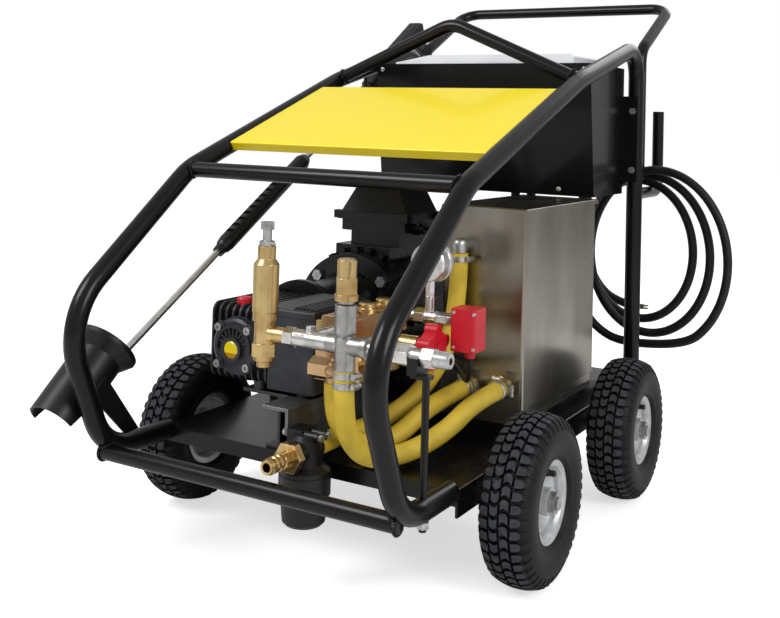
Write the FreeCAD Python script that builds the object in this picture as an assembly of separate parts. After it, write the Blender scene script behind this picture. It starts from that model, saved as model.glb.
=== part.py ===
import FreeCAD
import Part
import math
import os

# An electric very high pressure washer: a tubular roll cage on four pneumatic wheels,
# with a motor, a plunger pump, a break tank, a control box, a spray lance and a power cord.
# Millimetres. The front of the machine faces -Y, its right side faces +X, and +Z is up.
# Lengths along Y are counted from the front axle here, and the whole machine is moved
# at the end, so that its origin lies under the middle of its box, on the floor.

V = FreeCAD.Vector
X_AXIS = V(1, 0, 0)
Y_AXIS = V(0, 1, 0)
Z_AXIS = V(0, 0, 1)

# Wheels: 4.10/3.50-4 tyres on pressed steel rims
TYRE_DIA = 262.0
TYRE_WIDTH = 86.0
TYRE_WALL = 8.0
SHOULDER = 12.0
TREAD_DEPTH = 7.0
GROOVE_WIDTH = 3.5
GROOVES = (-20.0, 0.0, 20.0)
RIM_DIA = 124.0
RIM_FLANGE = 27.0
BEAD = 9.0
TRACK = 676.0
WHEELBASE = 462.0
AXLE_DIA = 20.0
HUB_LENGTH = 60.0
HUB_DIA = 42.0
AXLE_NUT = 10.0
AXLE_END = 14.0

# Cage tubes
SIDE_TUBE_DIA = 33.7
CROSS_TUBE_DIA = 26.9
HANDLE_TUBE_DIA = 25.0
TUBE_WALL = 2.6
CAGE_HALF_WIDTH = 272.0
RAIL_Z = 172.0
TOE_Y = -304.0
NOSE_Y = -400.0
NOSE_Z = 395.0
BROW_Y = -125.0
BROW_Z = 617.0
ARCH_Y = 347.0
ARCH_FOOT_Z = 797.0
ARCH_TOP_Z = 912.0
ARCH_BEND = 62.0
POST_Y = 700.0
POST_TOP_Z = 889.0
SIDE_BENDS = [88.0, 115.0, 150.0, 400.0, 55.0]

# Push handle, bolted behind the posts, and the cable hook welded to the right post
HANDLE_Y = 950.0
HANDLE_Z = 997.0
HANDLE_KNEE_Z = 880.0
HANDLE_FOOT_Z = 600.0
HANDLE_BENDS = [48.0, 46.0, 46.0, 48.0]
HANDLE_BOLT_Z = (619.0, 746.0)
HANDLE_BOLT_R = 4.0
HOOK_Z = 566.0
HOOK_Y = 873.0
HOOK_TOP_Z = 749.0
HOOK_BEND = 26.0

# Deck
SHEET = 4.0
DECK_FRONT_Y = -155.0
DECK_REAR_Y = POST_Y + SIDE_TUBE_DIA / 2 + SHEET
DECK_HALF_WIDTH = 285.0
DECK_TOP_Z = 176.0
DECK_FLANGE = 40.0
DECK_CORNER = 5.0
EAR_X = 241.0
EAR_WIDTH = 64.0
EAR_DROP = 22.0
PLATFORM_TOP_Z = 200.0
PLATFORM_FRONT_Y = 118.0
PLATFORM_REAR_Y = 508.0
PLATFORM_HALF_WIDTH = 261.0

# Motor and pump, on one axis along Y
RUNNING_GAP = 0.05
LOOSE_GAP = 0.3
DRIVE_X = -127.0
DRIVE_Z = 332.0
FLANGE_Y = 200.0
FLANGE_R = 120.0
FLANGE_THICK = 14.0
FLANGE_BOLT_R = 102.5
FLANGE_BOLT_HOLE_R = 5.5
SHIELD = 16.0
MOTOR_R = 118.0
MOTOR_FIN = 11.0
MOTOR_FINS = 26
MOTOR_WALL = 14.0
MOTOR_LENGTH = 300.0
FAN_COVER_LENGTH = 82.0
FAN_COVER_R = 122.0
SHAFT_R = 19.0
FAN_BLADES = 7
TERMINAL_X = -105.0
TERMINAL_FRONT_Y = 230.0
TERMINAL_LENGTH = 128.0
TERMINAL_TOP_Z = 592.0

CRANK_R = 15.0
CRANK_THROW = 9.0
COUPLING_R = 40.0
PUMP_FRONT_Y = -150.0
PUMP_REAR_Y = 20.0
PUMP_LEFT_X = -193.0
PUMP_RIGHT_X = 22.0
PUMP_BOTTOM_Z = 270.0
PUMP_TOP_Z = 402.0
PUMP_FINS = 9
PUMP_FIN_PITCH = 14.0
PUMP_FIN = 4.0
PUMP_FEET_X = (-92.0, -6.0)
PUMP_FEET_Y = (-136.0, 4.0)
PUMP_FOOT = 6.0
PLUNGER_PITCH = 54.0
PLUNGER_R = 10.0
COVER_R = 46.0
COVER_SEAT = 4.0
COVER_LUG = 12.5
COVER_SCREW = 30.0
GLASS_R = 15.0
GLASS_Z = 328.0
OIL_CAP = (-142.0, -121.0)
OIL_CAP_R = 13.0

MANIFOLD_X = 67.0
MANIFOLD_FRONT_Y = -146.0
MANIFOLD_REAR_Y = 16.0
MANIFOLD_BOTTOM_Z = 298.0
MANIFOLD_TOP_Z = 400.0
MANIFOLD_BULGE_R = 21.0
MANIFOLD_BULGE_X = 75.0
SIDE_PLUG_Z = 322.0

# Pump stand and the bracket that carries the inlet filter
STAND_PLATE = 5.0
STAND_MARGIN = 12.0
STAND_LEG_INSET = 72.0
BRACKET_FRONT_Y = -214.0
BRACKET_WIDTH = 44.0
BRACKET_DROP = 40.0

# Water line in front of the pump
LINE_Y = -237.0
LINE_Z = 381.0
TEE_X = 75.0
TEE_ARM_R = 12.0
REGULATOR_X = -11.0
REGULATOR_R = 20.0
REGULATOR_SCREW_R = 5.0
UNLOADER_X = 136.0
OUTLET_BORE_R = 5.0
OUTLET_NECK_R = 11.0
OUTLET_THREAD_R = 11.5
OUTLET_THREAD = 24.0
STAY_ROD_R = 5.5
STAY_NUT = 9.0

# Hand valve and pressure switch branch on the manifold's right face
VALVE_Y = -44.0
VALVE_Z = 350.0
KNOB_STEM_R = 5.0
BRANCH_Y = 4.0
BRANCH_Z = 388.0
BRANCH_TEE_X = 146.0
BRANCH_R = 11.0
GAUGE_R = 31.5
GAUGE_Z = 478.0
PRESSURE_SWITCH = (44.0, 44.0, 68.0)
PRESSURE_SWITCH_TOP_Z = 411.0
CONTROL_CABLE_DIA = 9.0

# Water tank with its float valve
TANK_LEFT_X = 100.0
TANK_RIGHT_X = 258.0
TANK_FRONT_Y = 138.0
TANK_REAR_Y = 492.0
TANK_BOTTOM_Z = 222.0
TANK_TOP_Z = 556.0
TANK_WALL = 2.0
TANK_CORNER = 5.0
LID_OVERHANG = 4.0
LID_HEIGHT = 9.0
LID_LIP = 8.0
LID_GAP = 0.4
PORT_R = 10.0
PORT_SUCTION = (159.0, 251.0)
PORT_BYPASS = (224.0, 257.0)
PORT_SUPPLY = (144.0, 498.0)
FLOAT_R = 32.0
FLOAT_ARM = 120.0
FLOAT_PIVOT_Y = 168.0
FLOAT_PIN_R = 3.0

# Hoses
HOSE_DIA = 31.0
HOSE_WALL = 4.5
BARB_R = HOSE_DIA / 2 - HOSE_WALL
BARB_LENGTH = 22.0
CLAMP_WIDTH = 9.0
CLAMP_BAND = 1.2
BYPASS_TOP_Z = 344.0
SUCTION_X = 78.0
SUCTION_Y = -175.0
SUCTION_TOP_Z = 306.0
SUCTION_PIPE_Z = 325.0

# Inlet filter
FILTER_X = 50.0
FILTER_Y = -206.0
FILTER_BOWL_R = 37.0
FILTER_WALL = 3.0
FILTER_BOTTOM_Z = 96.0
FILTER_SPLIT_Z = 172.0
FILTER_PORT_Z = 205.0
FILTER_BOLT_Z = 228.0
FILTER_BOLT_Y = (-214.0 + 7.0, -188.0)
FILTER_BOLT_R = 3.0
SCREEN_R = 16.0

# Control box between the rear posts
BOX_HALF_WIDTH = 250.0
BOX_BOTTOM_Z = 567.0
BOX_TOP_Z = 838.0
BOX_FRONT_BOTTOM_Y = 502.0
BOX_FRONT_TOP_Y = 468.0
BOX_REAR_Y = POST_Y - SIDE_TUBE_DIA / 2
BOX_WALL = 2.0
BOX_WING = 3.0
COVER_HEIGHT = 19.0
SWITCH_X = -150.0
SWITCH_Z = 760.0
SWITCH_SHAFT_R = 6.0
GLAND_HEIGHT = 24.0
GLAND_Y = 540.0
MOTOR_GLAND_X = 62.0
SWITCH_GLAND_X = 98.0
CORD_GLAND = (175.0, 660.0)

# Yellow hood panel
HOOD_FRONT_Y = -26.0
HOOD_REAR_Y = 273.0
HOOD_SHEET = 2.0
HOOD_LIP = 14.0
HOOD_RISE = 9.0

# Lance, its cup and its gun, in a plane outside the left side tube
LANCE_OUTBOARD = 61.0
LANCE_X = -CAGE_HALF_WIDTH - LANCE_OUTBOARD
LANCE_R = 6.5
LANCE_TIP_Y = -292.0
LANCE_TIP_Z = 249.0
LANCE_PITCH = 31.7
LANCE_LENGTH = 1075.0
LANCE_HOOK_Y = 472.0
LANCE_HOOK_R = 4.0
GRIP_START = 385.0
GRIP_LENGTH = 330.0
GUN_START = LANCE_LENGTH - 150.0
TRIGGER_PIVOT = (121.0, 8.0)
TRIGGER_PIN_R = 2.0
TRIGGER_EYE_R = 6.5
TRIGGER_HALF = 8.0
CUP_R = 42.0
CUP_RIM_R = 57.0
CUP_WALL = 3.0
CUP_LENGTH = 150.0
CUP_PITCH = 42.4
CUP_RIM = (-246.0, 320.0)
CUP_CUT = (-335.0, 231.0)
CUP_CUT_TILT = 27.0

# Power cord: its free stretch and the coil that hangs on the hook
CORD_DIA = 19.0
COIL_TURNS = 3
COIL_FIRST_Y = 752.0
COIL_PITCH = 22.0
COIL_RIGHT = 470.6
COIL_RIGHT_STEP = -42.5
COIL_LEFT = 161.8
COIL_LEFT_STEP = -13.0
COIL_TOP = 624.5
COIL_TOP_STEP = -13.0
COIL_BOTTOM = 231.5
COIL_BOTTOM_STEP = 25.5

nodes = {}


def box(x0, y0, z0, x1, y1, z1):
    low = V(min(x0, x1), min(y0, y1), min(z0, z1))
    return Part.makeBox(abs(x1 - x0), abs(y1 - y0), abs(z1 - z0), low)


def cylinder(r, height, base, axis=Z_AXIS):
    return Part.makeCylinder(r, height, V(*base), axis)


def ring(r_out, r_in, height, base, axis=Z_AXIS):
    return cylinder(r_out, height, base, axis).cut(cylinder(r_in, height, base, axis))


def placed(shape, base, axis):
    shape.Placement = FreeCAD.Placement(V(*base), FreeCAD.Rotation(Z_AXIS, axis))
    return shape


def lathe(profile, base, axis=Z_AXIS):
    """A turned piece: profile holds (radius, height) pairs."""
    points = [V(r, 0, h) for r, h in profile]
    face = Part.Face(Part.makePolygon(points + [points[0]]))
    return placed(face.revolve(V(0, 0, 0), Z_AXIS, 360), base, axis)


def hexagon(across_flats, height, base, axis=Z_AXIS, turn=0.0):
    r = across_flats / math.sqrt(3)
    corners = []
    for i in range(7):
        a = math.radians(60 * i + turn)
        corners.append(V(r * math.cos(a), r * math.sin(a), 0))
    return placed(Part.Face(Part.makePolygon(corners)).extrude(V(0, 0, height)), base, axis)


def bolt(across_flats, head, shank_r, shank, base, axis):
    """A hexagon bolt: its head stands out along axis and its shank goes the other way."""
    start = V(*base) - axis * shank
    return hexagon(across_flats, head, base, axis).fuse(cylinder(shank_r, shank, start, axis))


def slab_along_x(outline_yz, x0, x1):
    points = [V(x0, y, z) for y, z in outline_yz]
    return Part.Face(Part.makePolygon(points + [points[0]])).extrude(V(x1 - x0, 0, 0))


def slab_along_y(outline_xz, y0, y1):
    points = [V(x, y0, z) for x, z in outline_xz]
    return Part.Face(Part.makePolygon(points + [points[0]])).extrude(V(0, y1 - y0, 0))


def runs_along(edge, axis):
    if len(edge.Vertexes) < 2:
        return False
    d = edge.Vertexes[-1].Point.sub(edge.Vertexes[0].Point)
    return d.Length > 1e-6 and abs(d.normalize().dot(axis)) > 0.999


def softened(shape, radius, chosen):
    """Rounds the edges that the test picks."""
    edges = [e for e in shape.Edges if chosen(e)]
    return shape.makeFillet(radius, edges) if edges else shape


def largest(shape):
    return max(shape.Solids, key=lambda s: s.Volume)


def group(*shapes):
    """Separate solids that share a node."""
    return Part.Compound([s for shape in shapes for s in shape.Solids])


def bent_path(points, radii):
    """Straight runs joined by tangent arcs, one radius for each inner point."""
    pts = [V(*p) for p in points]
    edges = []
    start = pts[0]
    for i in range(1, len(pts) - 1):
        before = pts[i].sub(pts[i - 1]).normalize()
        after = pts[i + 1].sub(pts[i]).normalize()
        turn = before.getAngle(after)
        reach = radii[i - 1] * math.tan(turn / 2)
        first = pts[i] - before * reach
        last = pts[i] + after * reach
        inward = (after - before).normalize()
        centre = pts[i] + inward * (radii[i - 1] / math.cos(turn / 2))
        middle = centre - inward * radii[i - 1]
        edges.append(Part.LineSegment(start, first).toShape())
        edges.append(Part.Arc(first, middle, last).toShape())
        start = last
    edges.append(Part.LineSegment(start, pts[-1]).toShape())
    return Part.Wire(edges)


def widest_radii(points):
    """Each arc is as large as the shorter of its two runs allows."""
    pts = [V(*p) for p in points]
    radii = []
    for i in range(1, len(pts) - 1):
        before = pts[i].sub(pts[i - 1])
        after = pts[i + 1].sub(pts[i])
        shorter = min(before.Length, after.Length)
        radii.append(0.45 * shorter / math.tan(before.getAngle(after) / 2))
    return radii


def swept(path, radius):
    edge = path.Edges[0]
    start = edge.valueAt(edge.FirstParameter)
    tangent = edge.tangentAt(edge.FirstParameter)
    circle = Part.Wire(Part.makeCircle(radius, start, tangent))
    return path.makePipeShell([circle], True, False)


def bent_tube(points, radii, dia, wall):
    path = bent_path(points, radii)
    return swept(path, dia / 2).cut(swept(path, dia / 2 - wall))


def cord(name, points, dia):
    """A round cord along straight runs and wide arcs, with its volume checked."""
    radii = widest_radii(points)
    path = bent_path(points, radii)
    solid = swept(path, dia / 2)
    expected = path.Length * math.pi * dia ** 2 / 4
    print("%s: length %.0f, radii %s, volume ratio %.4f" % (
        name, path.Length, [round(r) for r in radii], solid.Volume / expected))
    return solid


def hose(name, points):
    bore = swept(bent_path(points, widest_radii(points)), HOSE_DIA / 2 - HOSE_WALL)
    return cord(name, points, HOSE_DIA).cut(bore)


def arc_from(start, tangent, end):
    """The arc that leaves start along tangent and stops at end."""
    chord = end.sub(start)
    along = V(chord).normalize()
    half = tangent.getAngle(along) / 2
    side = (tangent - along * tangent.dot(along)).normalize()
    middle = start + chord * 0.5 + side * (chord.Length / 2 * math.tan(half))
    return Part.Arc(start, middle, end).toShape()


def biarc(p0, t0, p1, t1):
    """Two arcs that leave p0 along t0, meet in a common tangent and reach p1 along t1."""
    chord = p1.sub(p0)
    total = t0 + t1
    k = 2 * (1 - t0.dot(t1))
    b = chord.dot(total)
    reach = (-b + math.sqrt(b * b + k * chord.dot(chord))) / k
    joint = (p0 + t0 * reach + p1 - t1 * reach) * 0.5
    return [arc_from(p0, t0, joint), arc_from(p1, t1 * -1, joint)]


# Cage

def side_tube_points(x):
    return [(x, DECK_FRONT_Y, RAIL_Z), (x, TOE_Y, RAIL_Z), (x, NOSE_Y, NOSE_Z), (x, BROW_Y, BROW_Z),
            (x, ARCH_Y, ARCH_FOOT_Z), (x, POST_Y, POST_TOP_Z), (x, POST_Y, DECK_TOP_Z)]


def make_cage():
    solids = []
    for side, x in (("left", -CAGE_HALF_WIDTH), ("right", CAGE_HALF_WIDTH)):
        path = bent_path(side_tube_points(x), SIDE_BENDS)
        solid = swept(path, SIDE_TUBE_DIA / 2)
        bore = swept(path, SIDE_TUBE_DIA / 2 - TUBE_WALL)
        solids.append(solid)
        if side == "right":
            hook = bent_tube([(x, POST_Y, HOOK_Z), (x, HOOK_Y, HOOK_Z), (x, HOOK_Y, HOOK_TOP_Z)],
                             [HOOK_BEND], HANDLE_TUBE_DIA, TUBE_WALL)
            solid = solid.fuse(hook).removeSplitter()
            rod_bottom = RAIL_Z - SIDE_TUBE_DIA
            solid = solid.cut(cylinder(STAY_ROD_R, 2 * SIDE_TUBE_DIA, (x, LINE_Y, rod_bottom)))
        else:
            solid = solid.fuse(lance_hook())
        for z in HANDLE_BOLT_Z:
            solid = solid.cut(cylinder(HANDLE_BOLT_R, 2 * SIDE_TUBE_DIA, (x, POST_Y - SIDE_TUBE_DIA, z), Y_AXIS))
        nodes["side_tube_" + side] = largest(solid.cut(bore))
    sides = solids[0].fuse(solids[1])

    def between_sides(tube):
        """A tube welded between the two side tubes, coped to fit round them."""
        return max(tube.cut(sides).Solids, key=lambda s: s.BoundBox.XLength)

    bars = []
    for y, z in ((TOE_Y, RAIL_Z), (BROW_Y, BROW_Z)):
        bars.append(between_sides(ring(CROSS_TUBE_DIA / 2, CROSS_TUBE_DIA / 2 - TUBE_WALL, 2 * CAGE_HALF_WIDTH,
                                       (-CAGE_HALF_WIDTH, y, z), X_AXIS)))
    nodes["cross_tubes"] = group(*bars)
    nodes["lifting_arch"] = between_sides(bent_tube(
        [(-CAGE_HALF_WIDTH, ARCH_Y, ARCH_FOOT_Z), (0, ARCH_Y, ARCH_TOP_Z), (CAGE_HALF_WIDTH, ARCH_Y, ARCH_FOOT_Z)],
        [ARCH_BEND], CROSS_TUBE_DIA, TUBE_WALL))


def lance_hook():
    """A bent rod welded below the left side tube, which carries the upper end of the lance."""
    slope = math.tan(math.atan2(POST_TOP_Z - ARCH_FOOT_Z, POST_Y - ARCH_Y))
    tube_z = ARCH_FOOT_Z + (LANCE_HOOK_Y - ARCH_Y) * slope
    lance_z = LANCE_TIP_Z + (LANCE_HOOK_Y - LANCE_TIP_Y) * math.tan(math.radians(LANCE_PITCH))
    seat_z = lance_z - (LANCE_R + LANCE_HOOK_R + LOOSE_GAP) / math.cos(math.radians(LANCE_PITCH))
    inner = -CAGE_HALF_WIDTH - 10
    outer = LANCE_X - LANCE_R - 9
    y = LANCE_HOOK_Y
    return swept(bent_path([(inner, y, tube_z - 8), (inner, y, seat_z), (outer, y, seat_z),
                            (outer, y, lance_z + 10)], [9.0, 8.0]), LANCE_HOOK_R)


def make_handle():
    leg_y = POST_Y + SIDE_TUBE_DIA / 2 + HANDLE_TUBE_DIA / 2
    w = CAGE_HALF_WIDTH
    handle = bent_tube(
        [(-w, leg_y, HANDLE_FOOT_Z), (-w, leg_y, HANDLE_KNEE_Z), (-w, HANDLE_Y, HANDLE_Z),
         (w, HANDLE_Y, HANDLE_Z), (w, leg_y, HANDLE_KNEE_Z), (w, leg_y, HANDLE_FOOT_Z)],
        HANDLE_BENDS, HANDLE_TUBE_DIA, TUBE_WALL)
    for x in (-w, w):
        for z in HANDLE_BOLT_Z:
            handle = handle.cut(cylinder(HANDLE_BOLT_R, 2 * HANDLE_TUBE_DIA, (x, leg_y - HANDLE_TUBE_DIA, z), Y_AXIS))
    nodes["push_handle"] = handle


def make_deck():
    """A folded tray with a raised platform for the motor and the tank, and ears for the axles."""
    w = DECK_HALF_WIDTH
    bottom = DECK_TOP_Z - DECK_FLANGE
    under = DECK_TOP_Z - SHEET
    tray = box(-w, DECK_FRONT_Y, bottom, w, DECK_REAR_Y, DECK_TOP_Z)
    tray = softened(tray, DECK_CORNER, lambda e: runs_along(e, Y_AXIS) and e.CenterOfMass.z > under)
    tray = tray.cut(box(-w + SHEET, DECK_FRONT_Y - 1, bottom - 1, w - SHEET, DECK_REAR_Y + 1, under))
    lip = box(-w + SHEET, DECK_FRONT_Y, under - DECK_FLANGE / 2, w - SHEET, DECK_FRONT_Y + SHEET, under)
    tray = tray.fuse(lip)
    for y in (0.0, WHEELBASE):
        for x in (-EAR_X, EAR_X):
            half = EAR_WIDTH / 2
            foot = TYRE_DIA / 2 - EAR_DROP
            ear = slab_along_x([(y - half, under), (y - half / 2, foot), (y + half / 2, foot), (y + half, under)],
                               x - SHEET, x + SHEET)
            tray = tray.fuse(ear)
        tray = tray.cut(cylinder(AXLE_DIA / 2, 2 * w, (-w, y, TYRE_DIA / 2), X_AXIS))
    p = PLATFORM_HALF_WIDTH
    frame = box(-p, PLATFORM_FRONT_Y, DECK_TOP_Z, p, PLATFORM_REAR_Y, PLATFORM_TOP_Z)
    hollow = box(-p + SHEET, PLATFORM_FRONT_Y + SHEET, DECK_TOP_Z, p - SHEET, PLATFORM_REAR_Y + 1,
                 PLATFORM_TOP_Z - SHEET)
    rib = box(-SHEET / 2, PLATFORM_FRONT_Y, DECK_TOP_Z, SHEET / 2, PLATFORM_REAR_Y, PLATFORM_TOP_Z)
    nodes["deck_tray"] = tray.fuse(frame.cut(hollow).fuse(rib)).removeSplitter()


# Wheels

def tyre_carcass():
    """The tyre stands open at its beads, as a tubed tyre does, with three grooves round its tread."""
    r = TYRE_DIA / 2
    seat = RIM_DIA / 2
    half = TYRE_WIDTH / 2
    side = (seat + r) / 2
    shoulder = half - SHOULDER
    inner_r = r - TREAD_DEPTH - TYRE_WALL
    inner_half = half - TYRE_WALL

    def arc(a, b, c):
        return Part.Arc(V(a[0], 0, a[1]), V(b[0], 0, b[1]), V(c[0], 0, c[1])).toShape()

    def line(a, b):
        return Part.LineSegment(V(a[0], 0, a[1]), V(b[0], 0, b[1])).toShape()

    foot = RIM_FLANGE + 2
    toe = RIM_FLANGE - BEAD
    section = Part.Wire([
        arc((seat, -foot), (side, -half), (r - 7, -shoulder)),
        arc((r - 7, -shoulder), (r, 0), (r - 7, shoulder)),
        arc((r - 7, shoulder), (side, half), (seat, foot)),
        line((seat, foot), (seat, toe)),
        arc((seat, toe), (side, inner_half), (inner_r - 5, shoulder - TYRE_WALL)),
        arc((inner_r - 5, shoulder - TYRE_WALL), (inner_r, 0), (inner_r - 5, -shoulder + TYRE_WALL)),
        arc((inner_r - 5, -shoulder + TYRE_WALL), (side, -inner_half), (seat, -toe)),
        line((seat, -toe), (seat, -foot))])
    carcass = Part.Face(section).revolve(V(0, 0, 0), Z_AXIS, 360)
    for middle in GROOVES:
        groove = ring(r + 5, r - TREAD_DEPTH, GROOVE_WIDTH, (0, 0, middle - GROOVE_WIDTH / 2))
        carcass = carcass.cut(groove)
    return carcass


def rim_and_hub():
    """Two pressed dishes back to back round a hub, with the valve stem through the outer one."""
    seat = RIM_DIA / 2
    bore = AXLE_DIA / 2 + RUNNING_GAP
    hub = HUB_DIA / 2
    half = HUB_LENGTH / 2
    edge = RIM_FLANGE
    rim = lathe([
        (bore, -half), (hub, -half), (hub, -5), (hub + 12, -5), (seat - 14, -14), (seat - 12, -edge + 4),
        (seat - 8, -edge - 2), (seat + 3, -edge - 5), (seat + 3, -edge - 3), (seat, -edge - 2), (seat, -edge + BEAD),
        (seat - 7, -edge + BEAD + 6), (seat - 7, edge - BEAD - 6),
        (seat, edge - BEAD), (seat, edge + 2), (seat + 3, edge + 3), (seat + 3, edge + 5), (seat - 8, edge + 2),
        (seat - 12, edge - 4), (seat - 14, 16), (hub + 12, 4), (hub, 4), (hub, half), (bore, half)],
        (0, 0, 0))
    stem = cylinder(4.2, 30, (-seat + 18, 0, 6))
    return rim.fuse(stem)


def make_wheels():
    carcass = tyre_carcass()
    rim = rim_and_hub()
    tyre = carcass.cut(rim)
    for end, y in (("front", 0.0), ("rear", WHEELBASE)):
        for side, s in (("left", -1), ("right", 1)):
            centre = V(s * TRACK / 2, y, TYRE_DIA / 2)
            nodes["tyre_%s_%s" % (end, side)] = placed(largest(tyre).copy(), centre, X_AXIS * s)
            nodes["rim_%s_%s" % (end, side)] = placed(rim.copy(), centre, X_AXIS * s)
    reach = TRACK / 2 + HUB_LENGTH / 2 + AXLE_END
    rods = [cylinder(AXLE_DIA / 2, 2 * reach, (-reach, y, TYRE_DIA / 2), X_AXIS) for y in (0.0, WHEELBASE)]
    nodes["wheel_axles"] = group(*rods)


# Hood and control box

def make_hood():
    """A folded sheet between the side tubes, a little above their middle, coped to their curve."""
    slope = math.atan2(ARCH_FOOT_Z - BROW_Z, ARCH_Y - BROW_Y)
    start_z = BROW_Z + (HOOD_FRONT_Y - BROW_Y) * math.tan(slope)
    length = (HOOD_REAR_Y - HOOD_FRONT_Y) / math.cos(slope)
    w = CAGE_HALF_WIDTH - SIDE_TUBE_DIA / 2 + 3
    low = HOOD_RISE - HOOD_LIP
    top = HOOD_RISE + HOOD_SHEET
    panel = box(-w, 0, low, w, length, top)
    panel = softened(panel, 2 * HOOD_SHEET, lambda e: runs_along(e, X_AXIS) and e.CenterOfMass.z > HOOD_RISE)
    t = HOOD_SHEET
    panel = panel.cut(box(-w + t, t, low - 1, w - t, length - t, HOOD_RISE))
    for s in (-1, 1):
        tube = cylinder(SIDE_TUBE_DIA / 2, length + 60, (s * CAGE_HALF_WIDTH, -30, 0), Y_AXIS)
        panel = panel.cut(tube)
    panel = largest(panel)
    panel.Placement = FreeCAD.Placement(V(0, HOOD_FRONT_Y, start_z),
                                        FreeCAD.Rotation(X_AXIS, math.degrees(slope)))
    nodes["hood_panel"] = panel


def make_control_box():
    w = BOX_HALF_WIDTH
    t = BOX_WALL
    middle = (BOX_FRONT_TOP_Y + BOX_REAR_Y) / 2
    outline = [(BOX_FRONT_BOTTOM_Y, BOX_BOTTOM_Z), (BOX_REAR_Y, BOX_BOTTOM_Z), (BOX_REAR_Y, BOX_TOP_Z),
               (BOX_FRONT_TOP_Y, BOX_TOP_Z)]
    inside = [(BOX_FRONT_BOTTOM_Y + t, BOX_BOTTOM_Z + t), (BOX_REAR_Y - t, BOX_BOTTOM_Z + t),
              (BOX_REAR_Y - t, BOX_TOP_Z - t), (BOX_FRONT_TOP_Y + t, BOX_TOP_Z - t)]
    shell = slab_along_x(outline, -w, w).cut(slab_along_x(inside, -w + t, w - t))
    shell = shell.cut(box(-180, middle - 60, BOX_TOP_Z - 2 * t, 180, middle + 60, BOX_TOP_Z + 1))
    shell = shell.cut(cylinder(SWITCH_SHAFT_R + 1, 4 * t, (SWITCH_X, BOX_REAR_Y - 3 * t, SWITCH_Z), Y_AXIS))
    for x in (-CAGE_HALF_WIDTH, CAGE_HALF_WIDTH):
        s = 1 if x > 0 else -1
        wing = box(s * (w - t), BOX_REAR_Y - BOX_WING, BOX_BOTTOM_Z + 26, x + s * 10, BOX_REAR_Y, BOX_TOP_Z - 60)
        shell = shell.fuse(wing)
        for z in HANDLE_BOLT_Z:
            shell = shell.cut(cylinder(HANDLE_BOLT_R, 4 * BOX_WING, (x, BOX_REAR_Y - 2 * BOX_WING, z), Y_AXIS))
    nodes["control_box"] = largest(shell.removeSplitter())

    z0 = BOX_TOP_Z
    z1 = BOX_TOP_Z + COVER_HEIGHT
    cover = slab_along_y([(-205, z0), (212, z0), (212, z1), (-120, z1), (-185, z0 + 7), (-205, z0 + 4)],
                         BOX_FRONT_TOP_Y + 6, BOX_REAR_Y - 6)
    cover = softened(cover, 7.0, lambda e: runs_along(e, Y_AXIS) and e.CenterOfMass.x > 200
                     and e.CenterOfMass.z > z1 - 1)
    cover = cover.cut(box(-170, middle - 60, z0 - 1, 170, middle + 60, z0 + 4))
    nodes["control_lid"] = cover
    floor = BOX_BOTTOM_Z + t
    contactor = box(-150, middle - 45, floor, -70, middle + 45, floor + 110)
    relay = box(-60, middle - 45, floor, -8, middle + 45, floor + 94)
    nodes["starter"] = group(contactor, relay)
    rear = BOX_REAR_Y + LOOSE_GAP
    knob = lathe([(0, 0), (17, 0), (16, 13), (0, 13)], (SWITCH_X, rear, SWITCH_Z), Y_AXIS)
    bar = box(SWITCH_X - 5, rear + 10, SWITCH_Z - 21, SWITCH_X + 5, rear + 26, SWITCH_Z + 21)
    stem = cylinder(SWITCH_SHAFT_R, 12, (SWITCH_X, rear - 12, SWITCH_Z), Y_AXIS)
    nodes["main_switch"] = knob.fuse([bar, stem])
    glands = []
    for x, y, bore in ((MOTOR_GLAND_X, GLAND_Y, CONTROL_CABLE_DIA / 2), (SWITCH_GLAND_X, GLAND_Y, CONTROL_CABLE_DIA / 2),
                       (CORD_GLAND[0], CORD_GLAND[1], CORD_DIA / 2)):
        r = bore + 5
        glands.append(lathe([(0, -GLAND_HEIGHT), (r - 2, -GLAND_HEIGHT), (r, -15), (r, 0), (0, 0)],
                            (x, y, BOX_BOTTOM_Z)))
    nodes["cable_glands"] = group(*glands)


# Tank

def tank_barb(port, y):
    profile = [(6, -4), (PORT_R, -4), (PORT_R, 0), (16, 0), (16, 6), (BARB_R, 8),
               (BARB_R, 8 + BARB_LENGTH), (6, 8 + BARB_LENGTH)]
    return lathe(profile, (port[0], y, port[1]), Y_AXIS * -1)


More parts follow.
